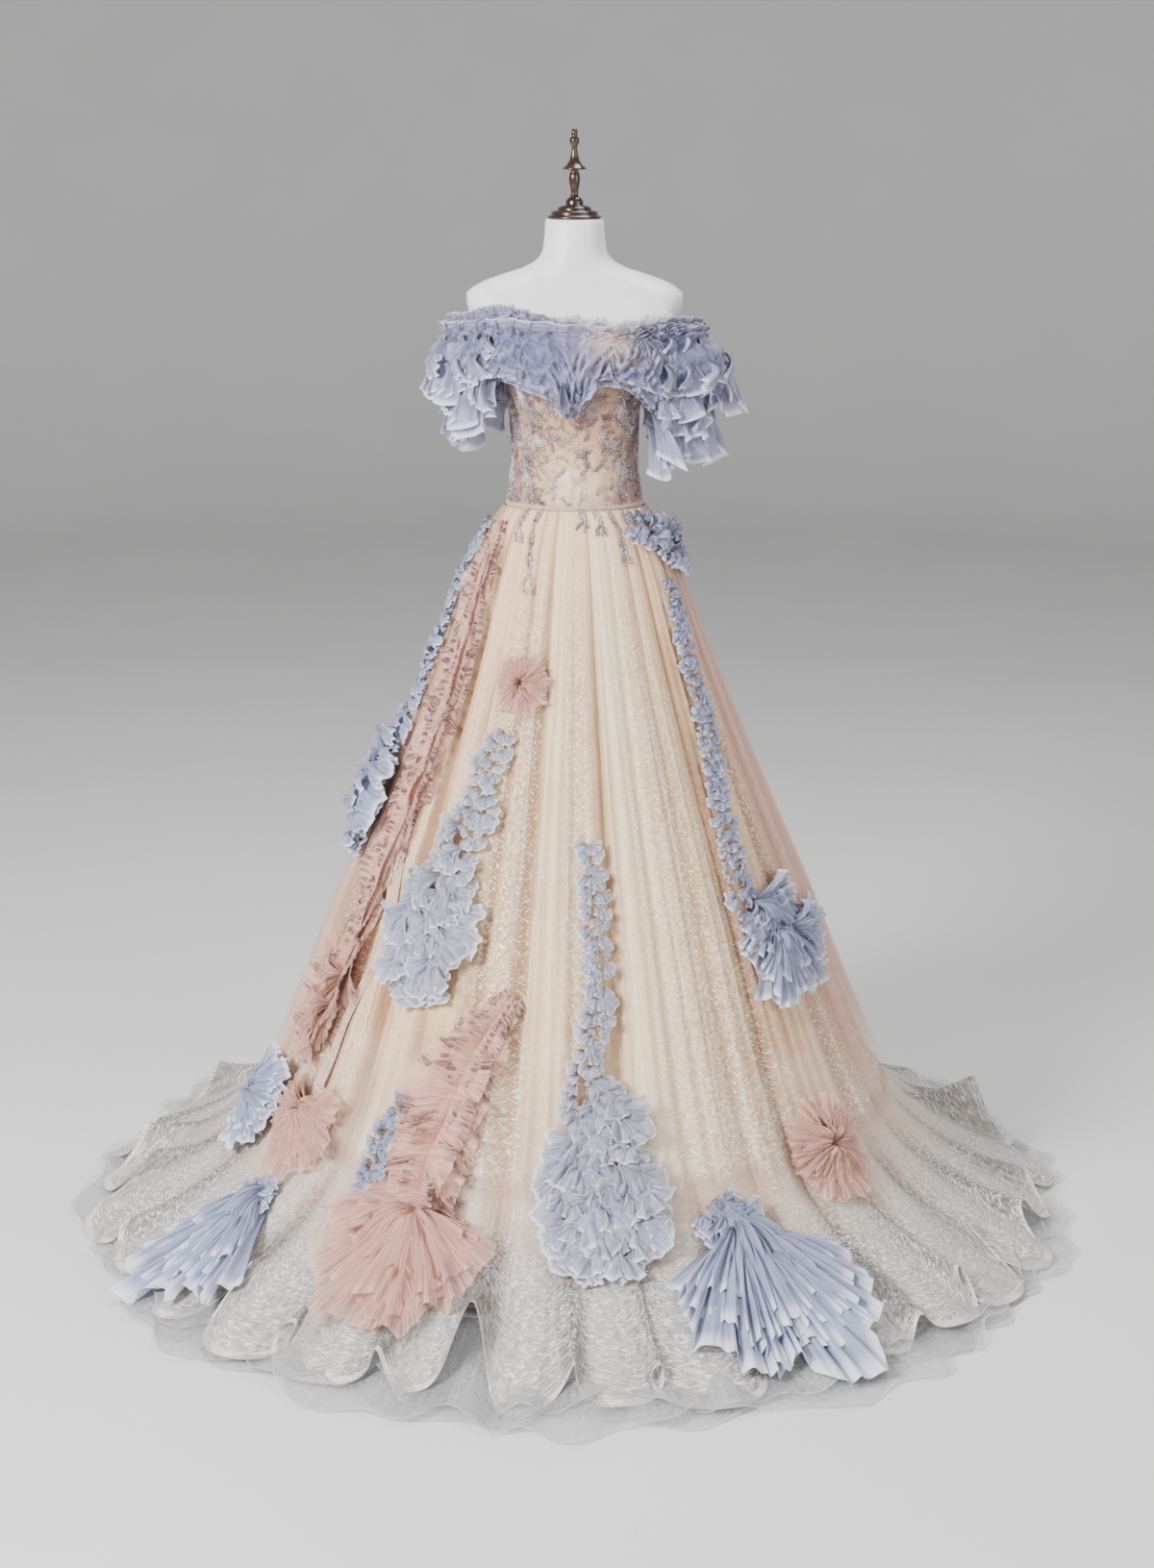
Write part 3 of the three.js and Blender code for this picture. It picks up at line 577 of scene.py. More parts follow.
@dataclass(frozen=True)
class Glitter:
    """Sheer skirt tulle over its lining, with painted shade in its fold valleys and painted light on its
    crests: flakes of glitter between plain bands, and long pale seams.
    """

    name: str
    # valley is the painted shade colour of the fold valleys, crest the painted light colour of the crests.
    valley: Colour
    crest: Colour
    blush: Colour
    cream: Colour
    flake: Colour = (1.0, 0.9, 0.76)
    clear: float = 0.0
    hem: Colour = (0.66, 0.55, 0.47)

    def material(self) -> bpy.types.Material:
        """Builds the material from the stored shares of crest, blush, cream, glitter and seam.

        Returns:
            The material.
        """
        g = Graph(self.name)
        crest, blush, cream, glitz, seam, reach = (g.stored(name) for name in (
            "crest", "blush", "cream", "glitz", "seam", "reach"))
        lines = g.noise(g.along(110.0, 1.2), 1.0, 4)
        cloud = g.noise(g.place(), 9.0, 3)
        # Painted shade and light: the valley colour in the folds, the crest colour on the crests, and
        # lighter towards the waist.
        light = crest * 0.8 + lines.ease(0.3, 0.7) * 0.3 + cloud.ease(0.3, 0.7) * 0.25 - 0.33
        light = light + reach.ease(0.32, 0.0) * 0.32
        body = g.blend(self.valley, self.crest, light.ease(0.0, 1.0))
        body = g.blend(body, self.cream, cream * 0.8)
        body = g.blend(body, self.blush, blush * (0.9 - crest * 0.3))
        body = g.blend(body, self.hem, (reach + cloud * 0.2).ease(0.86, 1.12) * 0.7)
        flakes = (g.strokes(1.15, 40.0) + g.strokes(1.15, -40.0)).ease(0.0, 1.0)
        gaps = g.noise(g.place(), 170.0, 1).ease(0.58, 0.42)
        shine = (flakes * glitz * 0.85 + g.specks(g.place(), 380.0, 0.3, 0.25) * 0.5).ease(0.0, 1.0)
        body = g.blend(body, g.blend(self.valley, self.crest, 0.25), gaps * glitz * (0.75 - cream * 0.45))
        body = g.blend(body, self.flake, (shine * 0.7 + seam * 0.5).ease(0.0, 1.0))
        inputs = {"Base Color": body, "Roughness": 0.62 - shine * 0.35, "Sheen Weight": 0.35,
                  "Sheen Roughness": 0.4, "Normal": g.bump(lines + flakes * glitz * 0.5, 0.0018, 0.8)}
        if self.clear:
            sheer = self.clear * (1.15 - crest * 0.35) * (1.0 - shine)
            inputs["Alpha"] = (1.0 - sheer) * g.stored("fade")
        return g.close(inputs)


@dataclass(frozen=True)
class Net:
    """Stiff sheer net with slanting threads and flakes of glitter, warm where the skirt's lining ends, with
    painted shade in its fold valleys.
    """

    name: str
    thread: Colour
    # deep is the painted shade colour of the fold valleys.
    deep: Colour
    speck: Colour
    clear: float
    warm: Colour
    warm_end: float = 0.0
    flakes: float = 0.0

    def material(self) -> bpy.types.Material:
        """Builds the material: threads slant both ways, glitter lies between them in drifts.

        Returns:
            The material.
        """
        g = Graph(self.name)
        crest, reach = g.stored("crest"), g.stored("reach")
        slant = g.noise(g.along(190.0, 34.0), 1.0, 3)
        down = g.noise(g.along(120.0, 1.5), 1.0, 3)
        drift = g.noise(g.place(), 7.0, 3)
        flakes = (g.strokes(0.42, 28.0) + g.strokes(0.42, -28.0)).ease(0.0, 1.0)
        flakes = flakes * drift.ease(0.25, 0.6, 0.35)
        glitter = (g.specks(g.place(), 300.0, 0.32, 0.4) * 0.8 + flakes * self.flakes).ease(0.0, 1.0)
        # Painted shade: the deep colour in the fold valleys, the thread colour on the crests.
        light = slant.ease(0.35, 0.65) * 0.35 + down.ease(0.35, 0.65) * 0.25 + crest * 0.7
        light = light + drift * 0.2 - 0.26
        body = g.blend(self.deep, self.thread, light.ease(0.0, 0.95))
        warmth = (reach + drift * 0.3 - 0.15).ease(max(self.warm_end, 0.01), 0.0) * 0.9
        body = g.blend(body, g.blend(self.warm, self.thread, light.ease(0.2, 1.0) * 0.35), warmth)
        edge = reach.ease(0.975, 0.995) * 0.5
        lucent = self.clear * (1.3 - light * 0.6) * (1.0 - glitter * 0.7) * (1.0 - warmth) * (1.0 - edge)
        entry = (reach + slant * 0.1 - 0.05).ease(0.0, 0.2) if self.warm_end else 1.0
        shine = glitter * (0.7 - warmth * 0.42) + edge
        return g.close({"Base Color": g.blend(body, self.speck, shine.ease(0.0, 1.0)),
                        "Roughness": 0.5 - glitter * 0.2, "Sheen Weight": 0.25,
                        "Alpha": (1.0 - lucent) * entry,
                        "Normal": g.bump(slant * 0.6 + down + flakes * 0.5, 0.0016, 0.7)})


@dataclass(frozen=True)
class LaceBase:
    """Illusion net of the bodice: skin-toned, mauve towards the sides and cream in the middle."""

    name: str
    middle: Colour
    side: Colour
    cream: Colour

    def material(self) -> bpy.types.Material:
        """Builds the material from the stored shares of mauve and cream.

        Returns:
            The material.
        """
        g = Graph(self.name)
        mauve, cream = g.stored("mauve"), g.stored("cream")
        cloud = g.noise(g.place(), 55.0, 4)
        tracery = g.noise(g.place(), 120.0, 2).ease(0.47, 0.53)
        body = g.blend(self.middle, self.cream, cream * cloud.ease(0.3, 0.6))
        body = g.blend(body, self.side, mauve * (0.55 + cloud * 0.6) + tracery * 0.16)
        dots = g.specks(g.place(), 420.0, 0.35, 0.35)
        return g.close({"Base Color": g.blend(body, (0.8, 0.76, 0.76), dots * 0.4),
                        "Roughness": 0.6 - dots * 0.3, "Sheen Weight": 0.2,
                        "Normal": g.bump(tracery + dots * 0.5, 0.0008, 0.6)})


@dataclass
class Finishes:
    """Every material of the gown, by what it is for."""

    made: dict[str, bpy.types.Material] = field(default_factory=dict)

    def __post_init__(self) -> None:
        """Builds all the materials once."""
        white, pale = (0.86, 0.86, 0.85), (0.78, 0.78, 0.78)
        # Frilled and Net take their painted shade colour first; Glitter takes the painted shade of its
        # valleys, then the painted light of its crests.
        kinds = [
            Smooth("form_satin", white, pale, roughness=0.36, sheen=0.25),
            Smooth("turned_wood", (0.022, 0.011, 0.008), (0.045, 0.02, 0.012), roughness=0.22, coat=0.6),
            Smooth("bead_silver", (0.5, 0.38, 0.39), (0.9, 0.82, 0.8), roughness=0.2, metallic=0.4),
            Smooth("leaf_mauve", (0.2, 0.12, 0.15), (0.42, 0.3, 0.32), roughness=0.35, metallic=0.25),
            Smooth("button_cloth", (0.55, 0.37, 0.29), (0.62, 0.44, 0.35), roughness=0.6, sheen=0.3),
            Smooth("button_satin", (0.82, 0.68, 0.6), (0.9, 0.8, 0.74), roughness=0.35, sheen=0.3),
            Smooth("hem_braid", (0.6, 0.55, 0.51), (0.92, 0.88, 0.84), roughness=0.4, scale=400.0),
            Frilled("tulle_lavender", (0.13, 0.125, 0.23), (0.4, 0.39, 0.57), (0.8, 0.8, 0.92), clear=0.25),
            Frilled("tulle_crumpled", (0.12, 0.115, 0.22), (0.37, 0.36, 0.54), (0.74, 0.73, 0.87),
                    crimps=26.0, clear=0.1, warm=(0.6, 0.46, 0.42), cross=7.0),
            Frilled("tulle_white", (0.4, 0.38, 0.4), (0.74, 0.73, 0.76), (0.95, 0.95, 0.98), clear=0.4),
            Frilled("sash_tulle", (0.5, 0.27, 0.2), (0.74, 0.5, 0.41), (0.86, 0.66, 0.57), crimps=20.0,
                    clear=0.15),
            Frilled("tulle_blue", (0.13, 0.145, 0.26), (0.38, 0.41, 0.59), (0.8, 0.83, 0.95)),
            Frilled("tulle_pale", (0.2, 0.205, 0.3), (0.5, 0.515, 0.645), (0.86, 0.87, 0.95), clear=0.3),
            Frilled("tulle_pink", (0.58, 0.27, 0.21), (0.82, 0.45, 0.36), (0.98, 0.74, 0.64), crimps=150.0,
                    soft=0.5),
            Glitter("skirt_glitter", (0.35, 0.165, 0.08), (0.94, 0.64, 0.39), (0.66, 0.34, 0.265),
                    (1.0, 0.83, 0.54)),
            Glitter("skirt_veil", (0.55, 0.29, 0.22), (0.86, 0.57, 0.48), (0.72, 0.42, 0.35),
                    (0.85, 0.65, 0.52), clear=0.6),
            Net("hem_net", (0.62, 0.585, 0.545), (0.19, 0.16, 0.14), (1.0, 0.99, 0.97), clear=0.36,
                warm=(0.76, 0.47, 0.31), warm_end=0.75, flakes=1.0),
            Net("under_net", (0.62, 0.62, 0.63), (0.4, 0.4, 0.42), (0.85, 0.85, 0.85), clear=0.6,
                warm=(0.6, 0.6, 0.6)),
            LaceBase("bodice_lace", (0.64, 0.38, 0.21), (0.29, 0.17, 0.175), (0.94, 0.8, 0.62)),
        ]
        self.made = {kind.name: kind.material() for kind in kinds}

    def __getitem__(self, name: str) -> bpy.types.Material:
        """The material of a name."""
        return self.made[name]


# Shapes of the form and gown; tables are in millimetres


NECKLINE = 1500.0
WAIST_TOP = 1236.0
WAIST_LOW = 1227.7
SEAM = 190.0
HEM = 2.6

FORM_ROWS = table_of(
    "z side front back square",
    (1000, 150, 96, 108, 2), (1060, 150, 98, 112, 2), (1120, 144, 96, 108, 2), (1180, 126, 89, 90, 2),
    (1228, 112, 85, 78, 2), (1265, 106, 83, 78, 2), (1298, 102.5, 84, 80, 2), (1350, 103.5, 92, 86, 2.05),
    (1394, 106, 105, 90, 2.1), (1430, 114, 113, 94, 2.15), (1460, 127, 110, 96, 2.2),
    (1500, 155, 98, 96, 2.5), (1540, 172, 82, 86, 3), (1573, 177, 64, 68, 3.2), (1589, 158, 58, 61, 2.6),
    (1605, 116, 54, 56, 2.2), (1620, 72, 51, 53, 2), (1642, 52, 48, 50, 2), (1692, 47, 45, 46, 2))
GOWN_ROWS = table_of(
    "z side front back",
    (HEM, 862, 860, 868), (66, 730, 724, 738), (130, 628, 622, 640), (SEAM, 563, 557, 579),
    (600, 381.5, 355, 379), (1000, 219, 182, 201), (1150, 163.5, 125, 134), (1196, 141, 106, 105),
    (WAIST_LOW, 117.5, 90.5, 84))
# Angle of each fold's valley, and its depth at the seam and at the hem.
VALLEYS = [(-84, 20, 110), (-71, 22, 120), (-58, 20, 110), (-46, 22, 120), (-34, 20, 125), (-22, 22, 105),
           (-12, 18, 115), (0, 27, 70), (9, 18, 150), (21, 23, 100), (32, 20, 85), (42, 18, 100),
           (52, 20, 110), (62, 18, 110), (74, 22, 120), (86, 20, 125), (99, 22, 130), (112, 24, 120),
           (125, 22, 130), (138, 24, 120), (151, 24, 135), (164, 22, 120), (177, 26, 135), (190, 22, 120),
           (203, 24, 130), (216, 22, 120), (229, 24, 130), (242, 22, 120), (255, 22, 110), (266, 18, 90)]
# Where the large fans keep the hem lower: angle and width.
PRESSED = ((-54, 8), (25, 9))
GROWTH_ROWS = table_of("z share", (SEAM, 1), (600, 0.78), (1000, 0.42), (1196, 0.14), (1228, 0.04))
COLLAR_LINES = table_of(
    "angle top bottom root out",
    (-180, 1518, 1440, 3.3, 20), (-150, 1518, 1436, 3.3, 22), (-125, 1522, 1432, 6, 36),
    (-105, 1526, 1430, 36, 68), (-90, 1528, 1430, 48, 88), (-75, 1532, 1438, 38, 80),
    (-60, 1540, 1452, 10, 50), (-45, 1548, 1448, 3.3, 34), (-30, 1548, 1436, 3.3, 30),
    (-15, 1542, 1420, 3.3, 26), (-4, 1534, 1388, 3.3, 22), (6, 1526, 1412, 3.3, 20),
    (16, 1520, 1446, 3.3, 18), (32, 1530, 1440, 3.3, 24), (48, 1532, 1412, 3.3, 36),
    (62, 1530, 1384, 12, 56), (76, 1526, 1402, 38, 92), (90, 1522, 1430, 48, 106),
    (105, 1522, 1430, 36, 78), (125, 1520, 1432, 6, 38), (150, 1518, 1436, 3.3, 22),
    (180, 1518, 1440, 3.3, 20))
COLLAR_ROWS = table_of("down root out", (-1, 0.3, 0.12), (0, 1, 0), (0.3, 0.4, 0.72), (0.65, 0.2, 0.95),
                       (1, 0.2, 0.8))


def outline(row: Table, angle: np.ndarray, height: np.ndarray) -> np.ndarray:
    """Points of a rounded outline with its own depth to the front and to the back.

    The half width goes with the sine of the angle and the depth with its cosine, each raised to two over
    the squareness.

    Args:
        row: half width, depths and squareness in millimetres.
        angle: degrees, 0 at the front.
        height: millimetres above the floor.

    Returns:
        Points in metres.
    """
    turn = np.radians(angle)
    power = 2 / row.get("square", np.full_like(turn, 2.0))
    across, ahead = np.sin(turn), np.cos(turn)
    depth = np.where(ahead > 0, row["front"], row["back"])
    x = row["side"] * np.sign(across) * np.abs(across) ** power
    y = -depth * np.sign(ahead) * np.abs(ahead) ** power
    return np.stack([x, y, np.broadcast_to(height, x.shape)], -1) * MM


def on_form(angle: np.ndarray, height: np.ndarray, out: np.ndarray | float = 0.0) -> np.ndarray:
    """Points on the dress form, moved out level by a clearance.

    Args:
        angle: degrees.
        height: millimetres.
        out: the clearance, in millimetres.

    Returns:
        Points in metres.
    """
    angle, height, out = np.broadcast_arrays(angle * 1.0, height * 1.0, out * 1.0)
    row = curves(FORM_ROWS, "z", height)
    along = unit(outline(row, angle + 1, height) - outline(row, angle - 1, height))
    normal = np.stack([along[..., 1], -along[..., 0], np.zeros_like(out)], -1)
    return outline(row, angle, height) + normal * out[..., None] * MM


def on_crests(angle: np.ndarray, height: np.ndarray) -> np.ndarray:
    """Points over the crests of the skirt and flounce."""
    angle, height = np.broadcast_arrays(angle * 1.0, height * 1.0)
    return outline(curves(GOWN_ROWS, "z", height), angle, height)


def off_crests(angle: np.ndarray, height: np.ndarray) -> np.ndarray:
    """The direction straight out of the crests."""
    across = on_crests(angle + 1, height) - on_crests(angle - 1, height)
    return unit(np.cross(on_crests(angle, height - 4) - on_crests(angle, height + 4), across))


def fold_at(angle: np.ndarray) -> tuple[np.ndarray, ...]:
    """How near a fold's valley an angle is, and the folds' depths there at the seam and at the hem.

    Between two valleys the nearness falls from one as the sine of the share of the way, and is zero over the
    broad crest.

    Args:
        angle: degrees.

    Returns:
        Nearness from 0 to 1, the two depths in millimetres, the share of the way and the gap in degrees.
    """
    marks = np.array([*VALLEYS, (VALLEYS[0][0] + 360, *VALLEYS[0][1:])], float)
    order = np.arange(len(marks)) % len(VALLEYS)
    marks[:, 1] *= 0.66 + 0.44 * np.sin(2.4 * order + 0.7)
    marks[:, 2] *= 0.8 + 0.45 * np.sin(1.9 * order + 2.2)
    around = marks[0, 0] + np.mod(angle - marks[0, 0], 360)
    k = np.clip(np.searchsorted(marks[:, 0], around, side="right") - 1, 0, len(marks) - 2)
    share = (around - marks[k, 0]) / (marks[k + 1, 0] - marks[k, 0])
    rise = np.sin(math.pi * share) / math.sin(0.36 * math.pi)
    near = np.maximum(0, 1 - np.maximum(rise, 0) ** 0.8)
    return (near, marks[k, 1] + (marks[k + 1, 1] - marks[k, 1]) * share,
            marks[k, 2] + (marks[k + 1, 2] - marks[k, 2]) * share, share, marks[k + 1, 0] - marks[k, 0])


def toward_axis(points: np.ndarray, depth: np.ndarray) -> np.ndarray:
    """Points moved in level towards the upright axis.

    Args:
        points: points in metres.
        depth: how far, in millimetres.

    Returns:
        The moved points.
    """
    radius = np.hypot(points[..., 0], points[..., 1])
    share = (radius - depth * MM) / radius
    return np.stack([points[..., 0] * share, points[..., 1] * share, points[..., 2]], -1)


def on_skirt(angle: np.ndarray, height: np.ndarray) -> np.ndarray:
    """Points of the folded skirt.

    Args:
        angle: degrees.
        height: millimetres.

    Returns:
        Points in metres.
    """
    near, depth = fold_at(angle)[:2]
    share = curves(GROWTH_ROWS, "z", height)["share"]
    middle = np.sin(math.pi * np.clip((height - SEAM) / 1040, 0, 1))
    uneven = 1 + 0.5 * np.sin(np.radians(angle) * 5 + 1) * middle
    return toward_axis(on_crests(angle, height), near * depth * share * uneven)


def on_flounce(angle: np.ndarray, height: np.ndarray) -> np.ndarray:
    """Points of the flounce, whose folds deepen and lift off the floor towards the hem.

    Near the hem each point also moves sideways by a sine of its share of the way between two valleys, so
    that the crests grow broad and round and the valleys close to narrow clefts. Under the two large fans
    the hem lifts less.

    Args:
        angle: degrees.
        height: millimetres, before the hem lifts.

    Returns:
        Points in metres.
    """
    near, skirt, hem, share, gap = fold_at(angle)
    fall = np.clip((SEAM - height) / (SEAM - HEM), 0, 1)
    turn = np.radians(angle)
    swell = 0.15 * (1 + 0.9 * np.sin(turn * 8))
    bent = angle - swell * gap * np.sin(TURN * share) * fall ** 1.5
    trough = 0.5 + 0.5 * np.cos(TURN * share)
    depth = (near + (trough - near) * fall) * (skirt * (1 - fall) + hem * fall ** 1.4)
    uneven = 0.5 + 0.5 * np.sin(turn * 11 + 1.3 * np.sin(turn * 4))
    depth = depth * (1 - 0.35 * uneven * fall) + 26 * uneven * fall ** 2
    points = toward_axis(on_crests(bent, height), depth)
    rise = trough ** 1.9 * hem / 110 * (66 + 52 * uneven) + 7 * uneven * (1 - trough)
    for at, width in PRESSED:
        rise = rise * (1 - 0.72 * bell(half_turn(angle), at, width))
    points[..., 2] = (height + rise * fall ** 2) * MM
    return points


def gown_angle(points: np.ndarray) -> np.ndarray:
    """The angle of points as seen by the outline of the gown at their height.

    Args:
        points: points in metres.

    Returns:
        Degrees.
    """
    row = curves(GOWN_ROWS, "z", points[..., 2] / MM)
    depth = np.where(points[..., 1] < 0, row["front"], row["back"])
    return np.degrees(np.arctan2(points[..., 0] / row["side"], -points[..., 1] / depth))


def over_gown(points: np.ndarray, lift: np.ndarray) -> np.ndarray:
    """The nearest level points over the crests, moved straight out.

    Args:
        points: points in metres.
        lift: how far out, in metres.

    Returns:
        The moved points, none of them below the hem.
    """
    angle, height = gown_angle(points), np.maximum(points[..., 2] / MM, HEM)
    seat = on_crests(angle, height) + off_crests(angle, height) * np.asarray(lift)[..., None]
    seat[..., 2] = np.maximum(seat[..., 2], HEM * MM)
    return seat


def seam_share(height: np.ndarray) -> np.ndarray:
    """The share of the way up from the skirt's seam to its waist."""
    return (height - SEAM) / (WAIST_LOW - SEAM)


def normals_of(points: np.ndarray) -> np.ndarray:
    """Directions out of a closed grid whose lines go down and whose points go to the right."""
    across = np.roll(points, -1, 1) - np.roll(points, 1, 1)
    return unit(np.cross(np.gradient(points, axis=0), across))


def run_of(points: np.ndarray) -> np.ndarray:
    """Metres along the middle line of a grid, the same for every line."""
    return np.broadcast_to(run_along(points[points.shape[0] // 2]), points.shape[:2])


def plain(points: np.ndarray, crest: np.ndarray | float = 0.0, closed: bool = False) -> Weave:
    """A grid of cloth of one reach."""
    blank = np.zeros(points.shape[:2])
    return Weave(points, run_of(points), blank, blank + crest, closed)


# The dress form


@dataclass
class DressForm:
    """White satin torso without limbs, its turned cap and finial, and the hidden stand.

    Attributes:
        columns: points round the body.
        rows: lines down the body.
        ends: heights of the body's top and underside.
        cap: radius and height of each step of the neck cap, in millimetres.
        finial: the same for the finial, and so on for the base and the pole.
    """

    columns: int = 120
    rows: int = 72
    ends: tuple[int, int] = (1692, 1000)
    cap: tuple = ((0, 1692.3), (42.6, 1692.3), (44, 1694), (44, 1696), (42, 1698), (37.4, 1699),
                  (38.4, 1701), (38, 1703.6), (35, 1705.4), (27, 1706.2), (27.6, 1708),
                  (27, 1710.4), (22, 1713), (15, 1714.4), (14, 1716), (14.6, 1720),
                  (11.4, 1725), (8.4, 1727), (0, 1727))
    finial: tuple = ((0, 1727.3), (7, 1727.3), (6, 1732), (6.2, 1738), (7.4, 1743), (9, 1752), (9.2, 1758),
                     (8, 1765), (5, 1768.6), (12, 1770), (20, 1771), (18, 1773.4), (13.4, 1777.4),
                     (8.6, 1784), (6.2, 1792), (4.5, 1804), (5, 1808), (7.2, 1811), (8.2, 1815.5),
                     (7.2, 1820), (4.3, 1822.4), (5.1, 1825), (5.2, 1829), (4.2, 1833), (2.2, 1834.8),
                     (0, 1835))
    base: tuple = ((0, 0), (148, 0), (150, 2), (150, 8), (138, 15), (30, 21), (0, 21))
    pole: tuple = ((0, 21), (13, 21), (13, 600), (13, 999.5), (0, 999.5))

    def turned(self, name: str, profile: tuple, steps: int) -> bpy.types.Object:
        """A turned piece from a profile that starts and ends on the axis.

        Args:
            name: the piece's name.
            profile: radius and height of each step, from the bottom up, in millimetres.
            steps: points round the piece.

        Returns:
            The closed mesh.
        """
        marks = np.array(profile, float)[::-1, :, None]
        grid = about_axis(marks[1:-1, 0], np.radians(ring_of(steps)), marks[1:-1, 1]) * MM
        ends = [np.array([0, 0, mark[1, 0]]) * MM for mark in (marks[0], marks[-1])]
        return new_object(name, *capped(grid, *ends))

    def build(self, finishes: Finishes) -> None:
        """Makes the form, cap, finial and stand.

        Args:
            finishes: the gown's materials.
        """
        grid = on_form(ring_of(self.columns), np.linspace(*self.ends, self.rows)[:, None])
        body = new_object("form_body_satin", *capped(grid, *(np.array([0, 0, z]) * MM for z in self.ends)))
        settle(body, Slot.FORM, finishes["form_satin"], "form_body")
        for name, node, profile, steps in (("neck_cap_turned", "neck_cap", self.cap, 64),
                                           ("finial_turned", "finial", self.finial, 64),
                                           ("stand_base_turned", "stand_base", self.base, 64),
                                           ("stand_pole_round", "stand_pole", self.pole, 32)):
            settle(self.turned(name, profile, steps), Slot.WOOD, finishes["turned_wood"], node)


# Bodice


@dataclass
class Bodice:
    """Fitted bodice with its waist band, back placket and covered buttons.

    Attributes:
        off: millimetres that the cloth stands off the form.
        columns: points round the body.
        rows: lines down it.
        band_half: half height of the waist band, in millimetres.
        band_middle: height of its middle.
        placket: heights of the placket's ends.
        placket_half: degrees from the placket's middle to its edge.
        buttons: number of buttons.
        button_ends: heights of the lowest and the highest button.
        button: radius and half thickness of a button.
    """

    off: float = 1.8
    columns: int = 240
    rows: int = 56
    band_half: float = 4.7
    band_middle: float = 1231.9
    placket: tuple[float, float] = (1466, 1246)
    placket_half: float = 5
    buttons: int = 6
    button_ends: tuple[float, float] = (1258, 1428)
    button: tuple[float, float] = (4.5, 1.7)

    def shell(self, finishes: Finishes) -> None:
        """The bodice's cloth: a smooth tube that follows the form between neckline and waist.

        It is mauve towards the sides and cream low in front.

        Args:
            finishes: the gown's materials.
        """
        angle = ring_of(self.columns, self.rows)
        height = falling(NECKLINE + 2, WAIST_TOP + 0.3, self.rows, self.columns)
        turn = np.abs(half_turn(angle))
        sew("bodice_shell", [plain(on_form(angle, height, self.off), closed=True)], Slot.BODICE,
            finishes["bodice_lace"], Cut(0.27, Held.STRETCHED, "form_body"),
            ("bodice_front", "bodice_side_right", "bodice_back_right", "bodice_back_left",
             "bodice_side_left"),
            mauve=np.clip((turn - 30 - 12 * np.sin((height - WAIST_TOP) / 44)) / 40, 0, 1) * 0.9,
            cream=bell(turn, 0, 26) * bell(height, 1275, 46))

    def band(self, finishes: Finishes) -> None:
        """The narrow waist band, with a rounded section that bulges two millimetres.

        Args:
            finishes: the gown's materials.
        """
        height = falling(1236.4, 1227.4, 7, self.columns)
        off_middle = (height - self.band_middle) / self.band_half
        bulge = 1.6 + 2.0 * np.sqrt(np.maximum(0, 1 - off_middle ** 2))
        sew("waist_band_cloth", [plain(on_form(ring_of(self.columns), height, bulge), closed=True)],
            Slot.BODICE, finishes["button_cloth"], Cut(0.01, Held.STRETCHED, "form_body"), ("waist_band",))

    def closure(self, finishes: Finishes) -> None:
        """The back placket and its row of covered buttons, each a flattened ball.

        Args:
            finishes: the gown's materials.
        """
        rows, columns = 60, 13
        angle = np.linspace(180 - self.placket_half, 180 + self.placket_half, columns)[None, :]
        edge = np.minimum(1, (self.placket_half - np.abs(angle - 180)) / 0.8)
        points = on_form(angle, falling(*self.placket, rows, columns), self.off + 0.6 + 0.9 * edge)
        sew("back_placket_cloth", [plain(points)], Slot.BODICE, finishes["button_cloth"],
            Cut(0.22, Held.STRETCHED, "bodice_shell"), ("back_placket",))
        radius, thick = self.button
        turn, tilt = np.radians(ring_of(24)), np.linspace(0, math.pi, 14)[1:-1, None]
        ball = np.stack([radius * np.sin(tilt) * np.sin(turn), -thick * np.sin(tilt) * np.cos(turn),
                         radius * np.cos(tilt) + 0 * turn], -1) * MM
        tip = np.array([0, 0, radius * MM])
        for k, z in enumerate(np.linspace(*self.button_ends, self.buttons)):
            middle = on_form(np.array(180.0), np.array(z), self.off + 3.4)
            made = new_object(f"button_{k + 1}_covered", *capped(ball + middle, middle + tip, middle - tip))
            settle(made, Slot.BODICE, finishes["button_satin"], f"button_{k + 1}")

    def build(self, finishes: Finishes) -> None:
        """Makes the whole bodice."""
        for part in (self.shell, self.band, self.closure):
            part(finishes)


# Skirt, flounce and underskirt


